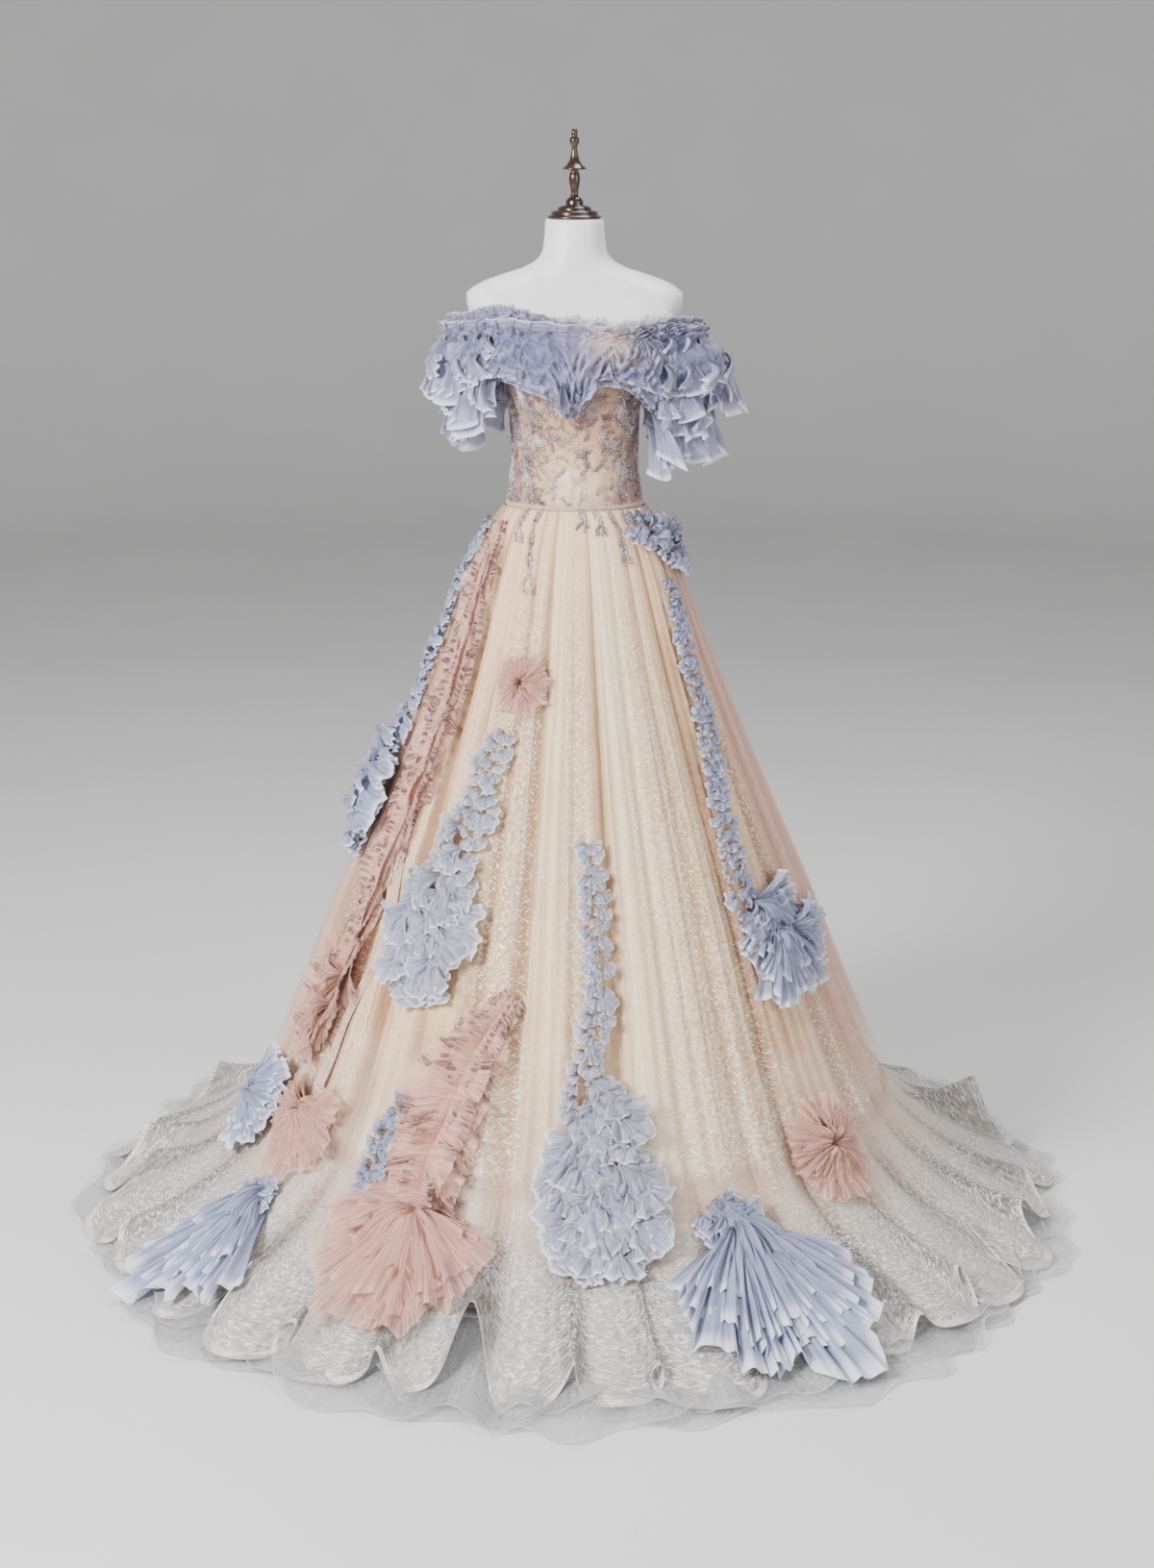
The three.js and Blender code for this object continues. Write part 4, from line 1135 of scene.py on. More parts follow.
@dataclass
class Skirt:
    """Layered tulle skirt in organ folds, with sheer veils over both sides.

    Attributes:
        columns: points round the skirt.
        rows: lines down it.
        ridge: millimetres of the fine pleats on the folds.
        drift: degrees by which the folds wander on their way down.
        seed: start of the noise.
        sash_line: angle and height of points down the sash's middle.
        seam_angles: angles of the long pale seams in front.
    """

    columns: int = 720
    rows: int = 54
    ridge: float = 3.2
    drift: float = 1.6
    seed: int = 11
    sash_line: tuple = ((-61, 1190), (-64, 1030), (-65, 923), (-62, 802), (-55, 671), (-50.5, 541),
                        (-53, 461), (-55.6, 395), (-57, 300))
    seam_angles: tuple[float, ...] = (-96, -70, -52.5, -49, -40, -15.5, -10, -3, 11.5, 14, 24.5, 28.5, 34.5,
                                      39, 57, 66, 81, 95)

    def fine(self, angle: np.ndarray, height: np.ndarray) -> np.ndarray:
        """Fine pleats: two lines of noise round the skirt, one for the waist and one for the seam, mixed.

        Args:
            angle: degrees.
            height: millimetres.

        Returns:
            Noise of unit size.
        """
        rng = np.random.default_rng(self.seed)
        grid = ring_of(4 * self.columns)[0]
        high, low = (np.interp(angle, grid, wander(rng, len(grid), width, True), period=360)
                     for width in (6.0, 4.2))
        return high * seam_share(height) + low * (1 - seam_share(height))

    def drifted(self, angle: np.ndarray, height: np.ndarray) -> np.ndarray:
        """Angles moved a little to the side and back between waist and seam."""
        sway = np.sin(angle * math.pi / 34) + 0.6 * np.sin(angle * math.pi / 13 + height / 130)
        return angle + self.drift * sway * np.sin(math.pi * np.clip(seam_share(height), 0, 1)) ** 2

    def shares(self, angle: np.ndarray, height: np.ndarray) -> Table:
        """How blush and how cream the cloth is: blush at both sides and behind, cream right of the centre.

        Args:
            angle: degrees.
            height: millimetres.

        Returns:
            The two shares by name, from 0 to 1.
        """
        turn = half_turn(angle)
        left = np.clip((-turn - 44 - height / 60) / 16, 0, 1)
        right = np.clip((turn - 46 - height / 80) / 16, 0, 1)
        return {"blush": np.clip(left + right, 0, 1) * 0.85,
                "cream": np.clip(bell(turn, 17, 8.5) + 0.5 * bell(turn, -4, 5), 0, 1)}

    def glitz(self, angle: np.ndarray, height: np.ndarray) -> np.ndarray:
        """How thick the glitter lies: in uneven bands down the skirt, thinner near the waist."""
        bands = np.sin(np.radians(angle) * 13 + 1.8 * np.sin(np.radians(angle) * 5) + height / 700)
        return np.clip(0.7 + 0.7 * bands, 0.3, 1) * np.clip((1240 - height) / 260, 0.3, 1)

    def seams(self, angle: np.ndarray, height: np.ndarray) -> np.ndarray:
        """Long pale seams of the tulle's layers, each a narrow ridge of width that grows downwards.

        Args:
            angle: degrees.
            height: millimetres.

        Returns:
            1 on a seam and 0 elsewhere.
        """
        turn = half_turn(angle)
        seam = np.zeros_like(turn)
        for at in np.concatenate([self.seam_angles, half_turn(np.arange(110, 250, 17.0))]):
            wide = 0.28 + 40 / (height + 300)
            seam = np.maximum(seam, bell(turn - at - 0.8 * np.sin(height / 150 + at), 0, wide))
        return seam

    def main(self, finishes: Finishes) -> None:
        """The skirt's glittering outer layers as one folded shell.

        Args:
            finishes: the gown's materials.
        """
        angle = ring_of(self.columns, self.rows)
        height = WAIST_LOW - (WAIST_LOW - SEAM) * falling(0, 1, self.rows, self.columns) ** 0.92
        bent = self.drifted(angle, height)
        fine = self.fine(bent, height)
        share = np.clip((WAIST_LOW - height) / 500, 0.1, 1)
        points = toward_axis(on_skirt(bent, height), self.ridge * share * (1.0 - fine) * 0.55)
        near, depth = fold_at(bent)[:2]
        # crest drives the painted shade of the fold valleys and the painted light of the crests.
        crest = np.clip(1 - near ** 0.8 * np.clip(depth / 20, 0.2, 1) + 0.14 * fine, 0, 1)
        gores = ("front_left", "front_centre", "front_right", "side_right", "back_right", "back_left",
                 "side_left_back", "side_left")
        sew("skirt_shell", [Weave(points, run_of(points), (WAIST_LOW - height) / 1037, crest, True)],
            Slot.SKIRT, finishes["skirt_glitter"], Cut(1.12, Held.GATHERED, "form_body"),
            tuple(f"gore_{gore}" for gore in gores),
            **self.shares(angle, height), glitz=self.glitz(bent, height), seam=self.seams(bent, height))

    def veil(self, finishes: Finishes, name: str, start: float, end: float, seed: int) -> None:
        """A sheer layer over one side, in soft folds of its own that stand a few millimetres off the skirt.

        Args:
            finishes: the gown's materials.
            name: the piece's name.
            start: angle of its left edge.
            end: angle of its right edge.
            seed: start of its noise.
        """
        rows, columns = 44, 220
        low = SEAM + 24
        across = np.linspace(0, 1, columns)[None, :] * np.ones((rows, 1))
        down = falling(0, 1, rows, columns)
        lift = wander(np.random.default_rng(seed), columns, 10)[None, :]
        height = WAIST_LOW - 1 - (WAIST_LOW - low) * down
        angle = start + (end - start) * across
        soft = 0.5 + 0.5 * np.sin(across * (end - start) * 0.62 + lift * 1.1 + down * 1.5)
        folds = np.clip((WAIST_LOW - height) / 900, 0.02, 1)
        points = over_gown(on_crests(angle, height), 0.0012 + folds * 0.016 * soft)
        fade = np.clip(np.minimum(np.minimum(across, 1 - across) * 6, (1 - down) * 4), 0, 1)
        # The soft folds are stored as crest, for painted shade in their valleys and painted light on their
        # ridges.
        sew(name, [plain(points, soft)], Slot.SKIRT, finishes["skirt_veil"],
            Cut(1.0, Held.HUNG, "skirt_shell"), fade=fade * fade * (3 - 2 * fade), blush=0.5 + 0.4 * soft,
            cream=0 * soft, glitz=0.25 + 0.3 * soft, seam=self.seams(angle, height) * 0.5)

    def sash(self, finishes: Finishes) -> None:
        """A flat blush strip from the left side down to the pink rosette, its edges rolled a little.

        Args:
            finishes: the gown's materials.
        """
        rows = 120
        marks = np.array(self.sash_line, float)
        height = np.linspace(marks[0, 1], marks[-1, 1], rows)
        angle = smooth_through(-height, -marks[:, 1], marks[:, 0])
        centre, normal = on_crests(angle, height), off_crests(angle, height)
        side = unit(np.cross(normal, unit(np.gradient(centre, axis=0))))
        across = np.linspace(-1, 1, 15)[None, :]
        half = 0.017 * (0.75 + 0.25 * np.sin(height / 90))[:, None]
        points = centre[:, None] + side[:, None] * (across * half)[..., None]
        roll = 0.0035 + 0.002 * np.cos(across * math.pi * 3) + 0.002 * np.sin(height / 31)[:, None]
        points = over_gown(points, roll)
        # reach makes the sash lighter towards its rolled edges, through the finish's painted light.
        reach = 0.5 + 0.42 * np.abs(across) * np.ones((rows, 1))
        sew("sash_blush", [Weave(points[:, ::-1], points[..., 2] * 2, reach, reach * 0 + 0.75)], Slot.SKIRT,
            finishes["sash_tulle"], Cut(0.8, Held.LAID, "skirt_shell"))

    def build(self, finishes: Finishes) -> None:
        """Makes the skirt, its sash and its veils.

        Args:
            finishes: the gown's materials.
        """
        self.main(finishes)
        self.sash(finishes)
        self.veil(finishes, "veil_left", -132.0, -66.0, 5)
        self.veil(finishes, "veil_right", 60.0, 128.0, 6)


@dataclass
class Flounce:
    """Net flounce in deep flutes, edged with braid, over soft layers that spread past it on the floor.

    Attributes:
        columns: points round the flounce.
        rows: lines down it.
        braid: width of the braid, in millimetres.
        overlap: millimetres by which the net starts above the seam.
        lift: metres by which it stands off the folds.
        under_columns: points round each soft layer.
        under_rows: lines across it.
        layers: inner radius, least and greatest reach and edge height of each, in millimetres.
        limit: the farthest that a layer may lie from the middle, in metres.
    """

    columns: int = 1080
    rows: int = 31
    braid: float = 14.0
    overlap: float = 55.0
    lift: float = 0.0012
    under_columns: int = 480
    under_rows: int = 10
    layers: tuple = ((600, 800, 906, 3.0), (640, 826, 932, 8.0), (660, 790, 886, 15.0))
    limit: float = 0.934

    def grid(self, start: float, rows: int) -> tuple[np.ndarray, np.ndarray]:
        """Points of the flounce from a height down to its hem.

        Args:
            start: the height of the first line, in millimetres.
            rows: number of lines.

        Returns:
            The points and how near each is to a crest.
        """
        angle = ring_of(self.columns, rows)
        height = falling(start, HEM, rows, self.columns)
        fall = np.clip((SEAM - height) / SEAM, 0, 1)
        bent = angle + 0.9 * np.sin(np.radians(angle) * 9) * fall
        points = on_flounce(bent, height)
        ripple = wander(np.random.default_rng(3), self.columns, 4, True)
        points[..., 2] += np.abs(ripple) * 0.004 * fall
        points = points + normals_of(points) * self.lift
        points[..., 2] = np.maximum(points[..., 2], HEM * MM)
        near, _, _, share, _ = fold_at(bent)
        # How near to a crest, for the net's painted shade in the flute valleys.
        return points, 1 - (near + (0.5 + 0.5 * np.cos(TURN * share) - near) * fall)

    def net(self, finishes: Finishes) -> None:
        """The net itself and the braid on its edge.

        Args:
            finishes: the gown's materials.
        """
        points, crest = self.grid(SEAM + self.overlap, self.rows)
        lengths = ("front", "right", "back_right", "back", "back_left", "left")
        reach = falling(0, 1, self.rows, self.columns)
        sew("flounce_net", [Weave(points, run_of(points), reach, crest, True)], Slot.HEM,
            finishes["hem_net"], Cut(0.36, Held.HUNG, "skirt_shell"),
            tuple(f"flounce_{length}" for length in lengths))
        points, crest = self.grid(HEM + self.braid * 0.45, 4)
        sew("flounce_braid", [plain(points, crest, True)], Slot.HEM, finishes["hem_braid"],
            Cut(0.011, Held.HUNG, "flounce_net"))

    def under(self, finishes: Finishes) -> None:
        """Soft layers on the floor: three rings whose edges rise and fall in broad uneven scallops.

        Each ring's outer edge wanders between its own least and greatest reach, and ripples up off the floor
        by a few millimetres between its scallops.

        Args:
            finishes: the gown's materials.
        """
        down = falling(0, 1, self.under_rows, self.under_columns)
        turn = np.radians(ring_of(self.under_columns, self.under_rows))
        weaves = []
        for k, (inner, least, most, low) in enumerate(self.layers):
            scallop = np.abs(np.sin(turn * (5 + k) + k + 0.9 * np.sin(3 * turn + k))) ** 0.6
            small = 0.5 + 0.5 * np.sin(turn * (29 + 4 * k) + 2.2 * np.sin(turn * 7 + k))
            narrow = 1 - 0.045 * np.sin(turn) ** 2
            edge = (least + (most - least) * (0.72 * scallop + 0.28 * small)) * narrow
            ripple = 0.6 * np.sin(turn * 41 + 3 * np.sin(turn * 5)) + 0.4 * np.sin(turn * 67 + k)
            radius = inner + (edge - inner) * down + 3 * ripple * down
            height = 50 * (1 - down) ** 1.5 + low * (1 + 0.7 * ripple * down) + 16 * down * (1 - scallop)
            points = about_axis(radius, turn, np.maximum(height, 1.0)) * MM
            points[..., :2] = np.clip(points[..., :2], -self.limit, self.limit)
            # crest follows the ripple, for painted light and shade on the floor layers.
            weaves.append(Weave(points, run_of(points), down, 0.5 + 0.4 * ripple * down, True))
        sew("under_tulle", weaves, Slot.UNDER, finishes["under_net"], Cut(1.1, Held.DRAPED),
            tuple(f"underskirt_{side}" for side in ("front", "right", "back", "left")))

    def build(self, finishes: Finishes) -> None:
        """Makes the flounce and the layers below it."""
        self.net(finishes)
        self.under(finishes)


# Gathered frills


@dataclass
class Frill:
    """A strip of tulle gathered at its root, on any line of points.

    Attributes:
        root: points of the stitching, in metres.
        normal: the direction out of the cloth below at each point.
        away: the direction over the cloth below in which the frill leans.
        length: metres from root to free edge, at each point.
        rise: degrees of lean above the cloth at the root and at the free edge.
        period: metres of stitching to a wave.
        swing: height of a wave as a share of the length.
        seed: start of the noise.
        rows: points from root to edge.
        ragged: unevenness of the length.
    """

    root: np.ndarray
    normal: np.ndarray
    away: np.ndarray
    length: np.ndarray
    rise: tuple[float, float]
    period: float
    swing: float
    seed: int
    rows: int = 6
    ragged: float = 0.16

    def weave(self) -> Weave:
        """The frill's grid.

        Each line starts at the root and bends over from the first lean to the second. A sine of the way
        along pushes it to and fro, growing to its free edge, and a sine of twice that pushes it sideways,
        so that the edge meanders in loops.

        Returns:
            The grid with its maps.
        """
        rng = np.random.default_rng(self.seed)
        count = len(self.root)
        run = run_along(self.root)
        pitch = max(2.0, self.period / max(run[-1] / count, 1e-6))
        phase = TURN * run / self.period + 1.5 * wander(rng, count, pitch * 1.5)
        size = 1 + self.ragged * wander(rng, count, pitch * 1.2)
        reach = np.linspace(0, 1, self.rows)[:, None]
        lean = np.radians(self.rise[0] + (self.rise[1] - self.rise[0]) * reach ** 0.7
                          + 7 * wander(rng, count, pitch * 2)[None, :])
        step = (self.length * size)[None, :] / (self.rows - 1)
        flat = np.cumsum(np.cos(lean) * step, 0) - np.cos(lean[:1]) * step
        tall = np.cumsum(np.sin(lean) * step, 0) - np.sin(lean[:1]) * step
        wave = np.sin(phase)[None, :] * reach ** 1.1
        push = self.swing * self.length[None, :] * wave
        flat = flat - np.sin(lean) * push
        tall = tall + np.cos(lean) * push + self.swing * self.length[None, :] * 0.5 * reach
        loop = 0.3 * self.period * np.sin(2 * phase)[None, :] * reach ** 1.2
        along = unit(np.gradient(self.root, axis=0))
        points = (self.root[None] + self.away[None] * flat[..., None] + self.normal[None] * tall[..., None]
                  + along[None] * loop[..., None])
        points[..., 2] = np.maximum(points[..., 2], HEM * MM)
        run, reach = (np.broadcast_to(part, points.shape[:2]) for part in (run * 2.2, reach))
        # crest follows the wave, for painted light on its crests and painted shade in its troughs.
        return Weave(points, run, reach, 0.5 + 0.5 * wave)


@dataclass
class Petals:
    """A group of pleated petals that spread over the gown, each from its own knot.

    Every field but the last five holds one value for each petal.

    Attributes:
        place: points of the knots on the gown, in metres.
        heading: degrees that the petal's middle points away from straight down, towards the right.
        spread: degrees from its middle to each side.
        length: metres from knot to edge.
        high: metres that it stands up.
        pleats: number of pleats.
        curl: how soon it bends over, from 0.4 for a flat fan to 1 for a scoop.
        rng: source of the noise.
        rows: points from knot to edge.
        columns: points from side to side.
        swing: height of a pleat as a share of the length.
        fine: height of the finer folds between the pleats, as a share of a pleat's.
    """

    place: np.ndarray
    heading: np.ndarray
    spread: np.ndarray
    length: np.ndarray
    high: np.ndarray
    pleats: np.ndarray
    curl: np.ndarray
    rng: np.random.Generator
    rows: int = 6
    columns: int = 27
    swing: float = 0.1
    fine: float = 0.0

    def noise(self, across: np.ndarray) -> np.ndarray:
        """Three sines of random phase for each petal.

        Args:
            across: -1 to 1 over the petals' width.

        Returns:
            The sum of the sines.
        """
        phase = self.rng.uniform(0, TURN, (3, len(self.place), 1, 1))
        parts = [np.sin(across * rate * math.pi + phase[k]) for k, rate in enumerate((1.3, 2.9, 5.7))]
        return 0.5 * parts[0] + 0.35 * parts[1] + 0.25 * parts[2]

    def weaves(self, free: np.ndarray | None = None) -> list[Weave]:
        """The petals' grids.

        Rows run from the knot outwards. The height over the gown is a hump that peaks nearer the knot as the
        curl grows, plus a pleat wave that grows to the edge, whose length is uneven.

        Args:
            free: the direction out at each knot, for petals that hang free of the gown.

        Returns:
            One grid for each petal.
        """
        names = ("heading", "spread", "length", "high", "pleats", "curl")
        each = {name: np.asarray(getattr(self, name))[:, None, None] for name in names}
        curl, spread, length = each["curl"], each["spread"], each["length"]
        reach = np.linspace(0.03, 1, self.rows)[None, :, None]
        across = np.linspace(-1, 1, self.columns)[None, None, :]
        turn = np.radians(each["heading"] + spread * (across + 0.06 * self.noise(across)))
        ragged = 1 + 0.13 * self.noise(across) - 0.16 * across ** 2
        far = length * ragged * reach ** (0.6 + 0.9 * curl)
        wave = np.sin(math.pi * each["pleats"] * across + 1.6 * self.noise(across))
        uneven = self.noise(across)
        wave = wave + self.fine * np.sin(math.pi * 1.6 * each["pleats"] * across + 3 * uneven)
        wave = wave * (0.8 + 0.4 * uneven)
        hump = np.sin(math.pi * np.clip(reach, 0, 1) ** 0.8 * (0.55 + 0.38 * curl))
        tall = each["high"] * hump * (1 + 0.25 * self.noise(across))
        tall = tall + length * self.swing * (wave + 0.4) * reach ** 0.9
        normal = free
        if free is None:
            normal = off_crests(gown_angle(self.place), np.maximum(self.place[:, 2] / MM, HEM))
        right = rightward(normal)
        low = np.cross(right, normal)
        sway = far[..., None] * (np.cos(turn)[..., None] * low[:, None, None, :]
                                 + np.sin(turn)[..., None] * right[:, None, None, :])
        points = self.place[:, None, None, :] + sway
        if free is None:
            points = over_gown(points, np.maximum(tall, 0.0008 + 0.004 * reach))
        else:
            points = points + tall[..., None] * normal[:, None, None, :]
        # crest follows the pleats, for painted light on their ridges and painted shade between them.
        crest = np.clip(0.5 + 0.5 * wave * reach, 0, 1)
        run = across * spread * length * 0.04
        crest, run, edge = (np.broadcast_to(part, far.shape) for part in (crest, run, reach))
        shift = self.rng.uniform(0, 9, len(self.place))
        return [Weave(points[i], run[i] + shift[i], edge[i], crest[i]) for i in range(len(self.place))]


def sides_of(line: list[tuple[float, float, float, float]], pace: float) -> Table:
    """Even steps along a line of stitching.

    Args:
        line: angle, height, half width and height of the frills along it, in millimetres.
        pace: metres to a step.

    Returns:
        The run, the centre points, the directions out, to the side and along, and the two sizes in metres.
    """
    marks = np.array(line, float)
    run = run_along(on_crests(marks[:, 0], marks[:, 1]))
    where = np.linspace(0, run[-1], max(12, int(run[-1] / pace)))
    angle, height, half, high = (smooth_through(where, run, marks[:, i]) for i in range(4))
    centre, normal = on_crests(angle, height), off_crests(angle, height)
    along = unit(np.gradient(centre, axis=0))
    return {"run": where, "centre": centre, "normal": normal, "along": along,
            "side": unit(np.cross(normal, along)), "half": half * MM, "high": high * MM}


def rightward(normal: np.ndarray) -> np.ndarray:
    """The level direction to the right, as seen from outside."""
    return unit(np.stack([-normal[:, 1], normal[:, 0], 0 * normal[:, 2]], -1))


def headings_of(directions: np.ndarray, normal: np.ndarray) -> np.ndarray:
    """Degrees of directions on the gown from straight down towards the right.

    Args:
        directions: the directions.
        normal: the direction out at each.

    Returns:
        One angle for each.
    """
    right = rightward(normal)
    low = np.cross(right, normal)
    return np.degrees(np.arctan2((directions * right).sum(-1), (directions * low).sum(-1)))


class Kind(Enum):
    """The ways in which a ruffle is made."""

    PETALS = "rounded petals set close"
    RUCHE = "a strip gathered along its middle"


FRILLED = Cut(0.05, Held.GATHERED, "skirt_shell")


@dataclass
class Ruffle:
    """An applied ruffle on a line of stitching.

    Attributes:
        name: the solid's name, which the piece takes with an ending.
        kind: how it is made.
        slot: its material slot.
        finish: its finish.
        line: angle, height, half width and height of the frills along the stitching, in millimetres.
        fans: single fans laid over it: angle, height, heading, spread, length, height of each.
        seed: start of the noise.
    """

    name: str
    kind: Kind
    slot: Slot
    finish: str
    line: list[tuple[float, float, float, float]]
    fans: list[tuple[float, ...]]
    seed: int

    def petals(self) -> list[Weave]:
        """Petals in rows across the line, each leaning outwards and along, more of them where it is wide.

        Returns:
            One grid for each petal.
        """
        rng = np.random.default_rng(self.seed)
        at = sides_of(self.line, 0.0155)
        rows = []
        for i, half in enumerate(at["half"]):
            count = max(3, int(round(half * 2 / 0.03)))
            share = (np.arange(count) + 0.5) / count * 2 - 1
            share = share * 0.72 + rng.normal(0, 0.07, count)
            rows.append(np.stack([np.full(count, i), share], -1))
        index, share = np.concatenate(rows).T
        count = len(index)
        at = {name: values[index.astype(int)] for name, values in at.items()}
        place = at["centre"] + at["side"] * (at["half"] * share)[:, None]
        place = place + at["along"] * rng.normal(0, 0.003, count)[:, None]
        lean = at["side"] * (share * 1.4 + rng.normal(0, 0.5, count))[:, None] + at["along"] * 0.75
        length = np.clip(at["half"] * 0.75, 0.018, 0.046) * rng.uniform(0.7, 1.4, count)
        high = np.minimum(at["high"] * 0.85, length * 0.9) * rng.uniform(0.75, 1.15, count)
        return Petals(place, headings_of(lean, at["normal"]), rng.uniform(40, 72, count), length, high,
                      rng.uniform(1.6, 4.0, count), rng.uniform(0.25, 0.85, count), rng, rows=6, columns=20,
                      swing=0.12).weaves()

    def ruche(self) -> list[Weave]:
        """Three layers on each side of the stitching, in fine gathers that lie nearly flat.

        Returns:
            One grid for each layer.
        """
        at = sides_of(self.line, 0.0018)
        count = len(at["run"])
        layers = [(1.0, (30, 2), 0.001, 0.003), (0.76, (44, 8), 0.003, 0.0), (0.5, (56, 14), 0.005, -0.004)]
        weaves = []
        for k, (share, rise, lift, start) in enumerate(layers * 2):
            side = 1 if k < len(layers) else -1
            seed = self.seed * 10 + k
            rng = np.random.default_rng(seed)
            tuft = wander(rng, count, 7)
            root = at["centre"] + at["normal"] * lift + at["side"] * (side * start)
            length = 1 + 0.03 * wander(rng, count, 1.6) + 0.12 * wander(rng, count, 14)
            length = np.maximum(at["half"] * share * length, 0.008)
            slant = at["side"] * side + at["along"] * (0.22 + 0.3 * tuft[:, None])
            made = Frill(root, at["normal"], unit(slant), length, rise, 0.0085, 0.03, seed, rows=7,
                         ragged=0.04).weave()
            # Painted light and shade: one side of each tuft lighter and the other darker, by the slope of
            # the tuft noise.
            crest = 0.5 + 0.4 * np.gradient(tuft)[None, :] * 7 + 0.2 * (made.crest - 0.5)
            made.crest = np.clip(crest, 0, 1)
            weaves.append(made if side > 0 else made.flipped(1))
        return weaves

    def laid_fans(self) -> list[Weave]:
        """The fans, each of four layers that grow shorter and stand higher.

        Returns:
            One grid for each layer.
        """
        rng = np.random.default_rng(self.seed + 500)
        layers = np.array([1.0, 0.84, 0.66, 0.46])
        count = len(layers)
        inward = np.arange(count)
        pleat, swing = (0.0007, 0.075) if self.kind is Kind.RUCHE else (0.0014, 0.05)
        weaves = []
        for at, z, heading, spread, length, high in self.fans:
            rows, columns = (9, 84) if length < 120 else (13, 104)
            centre = on_crests(np.full(count, at), np.full(count, z))
            pleats = np.clip(spread * length * pleat * layers, 4, 15)
            weaves += Petals(centre, heading + rng.normal(0, 5, count), spread * (1.0 - 0.12 * inward / 3),
                             length * layers * MM, high * (0.5 + 0.55 * inward / 3) * MM, pleats,
                             np.linspace(0.35, 0.75, count), rng, rows=rows, columns=columns, swing=swing,
                             fine=0.55).weaves()
        return weaves

    def build(self, finishes: Finishes) -> None:
        """Makes the ruffle.

        Args:
            finishes: the gown's materials.
        """
        weaves = self.petals() if self.kind is Kind.PETALS else self.ruche()
        nodes = (self.name,) if self.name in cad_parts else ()
        weaves += self.laid_fans()
        sew(f"{self.name}_tulle", weaves, self.slot, finishes[self.finish], FRILLED, nodes)


RUFFLES = [
    ("ruffle_edge_blue", Kind.PETALS, "blue",
     [(-86, 1200, 14, 12), (-86, 1070, 20, 22), (-85, 950, 24, 34), (-85, 870, 32, 40), (-84, 790, 56, 56),
      (-83, 690, 50, 52), (-82, 640, 22, 14)], [(-84, 800, -40, 70, 90, 40), (-84, 745, -20, 60, 80, 44)]),
    ("ruche_side_pink", Kind.RUCHE, "pink",
     [(-62, 1206, 16, 10), (-58, 1170, 24, 14), (-57, 1086, 34, 20), (-55, 963, 42, 24), (-56, 839, 46, 24),
      (-58, 700, 42, 24), (-60, 540, 42, 26), (-62, 450, 72, 40), (-65, 370, 66, 36), (-67, 326, 30, 12)],
     [(-59, 470, -75, 52, 110, 34), (-60, 420, -55, 50, 105, 36), (-62, 380, -35, 48, 80, 30)]),
    ("ruche_white_blue", Kind.PETALS, "pale",
     [(-25, 884, 14, 10), (-28, 830, 28, 18), (-31, 738, 32, 22), (-34, 672, 40, 26), (-36, 630, 68, 38),
      (-36, 540, 70, 38), (-35, 474, 28, 12)], [(-33, 600, -70, 50, 70, 26)]),
    ("ruche_front_pink", Kind.RUCHE, "pink",
     [(-13, 496, 22, 12), (-17, 455, 46, 24), (-20.6, 400, 64, 30), (-23.6, 321, 72, 32), (-26, 236, 88, 36),
      (-25.5, 190, 96, 40), (-25.0, 150, 80, 30)],
     [(-24.8, 180, -12, 84, 176, 46), (-24, 176, -62, 42, 128, 40), (-24, 172, 48, 40, 120, 40),
      (-23.4, 110, 4, 70, 104, 36)]),
    ("fringe_left_blue", Kind.PETALS, "blue",
     [(-33, 330, 10, 10), (-34, 290, 20, 22), (-35.5, 240, 26, 28), (-36, 196, 20, 18)], []),
    ("ruffle_centre_blue", Kind.PETALS, "pale",
     [(3.6, 722, 8, 8), (5, 640, 17, 14), (5, 500, 20, 16), (3, 402, 28, 20), (3, 356, 50, 28),
      (5, 290, 66, 34), (5, 220, 88, 40), (4, 165, 76, 36), (3.4, 126, 36, 14)],
     [(4.5, 200, 0, 60, 84, 36)]),
    ("ruffle_right_blue", Kind.PETALS, "blue",
     [(59, 1112, 12, 8), (57, 1055, 16, 12), (53, 887, 18, 14), (48, 770, 20, 16), (46, 621, 26, 20),
      (48, 590, 40, 30), (50, 560, 46, 34)],
     [(48, 604, 44, 60, 138, 34), (51, 560, 16, 56, 140, 38), (56, 550, 70, 42, 140, 44),
      (50, 580, -20, 44, 96, 30)]),
    ("ruffle_waist_blue", Kind.PETALS, "blue",
     [(38, 1208, 12, 10), (50, 1192, 28, 26), (66, 1170, 36, 32), (80, 1146, 30, 26), (86, 1132, 16, 12)],
     [(58, 1180, 60, 60, 54, 20)]),
    ("fan_left_blue", Kind.PETALS, "blue", [(-57, 150, 24, 14), (-55.5, 132, 30, 24), (-54, 118, 30, 24)],
     [(-54, 146, -14, 30, 220, 30), (-53, 136, 4, 30, 190, 34), (-53, 120, -8, 34, 130, 34)]),
    ("fan_right_blue", Kind.PETALS, "blue", [(21.4, 190, 28, 16), (23.5, 172, 42, 30), (25, 152, 42, 34)],
     [(25, 166, 16, 44, 236, 44), (24, 158, -14, 40, 204, 38), (26, 120, 26, 42, 170, 36)]),
]
ROSETTES = [
    ("rosette_hip_pink", "pink", -21, 959, 46, 54, 30, 0.0),
    ("rosette_left_pink", "pink", -56, 262, 76, 118, 42, 0.6),
    ("rosette_left_blue", "blue", -75, 226, 88, 104, 48, 0.2),
    ("rosette_right_pink", "pink", 48.5, 224, 86, 92, 38, 0.2),
]


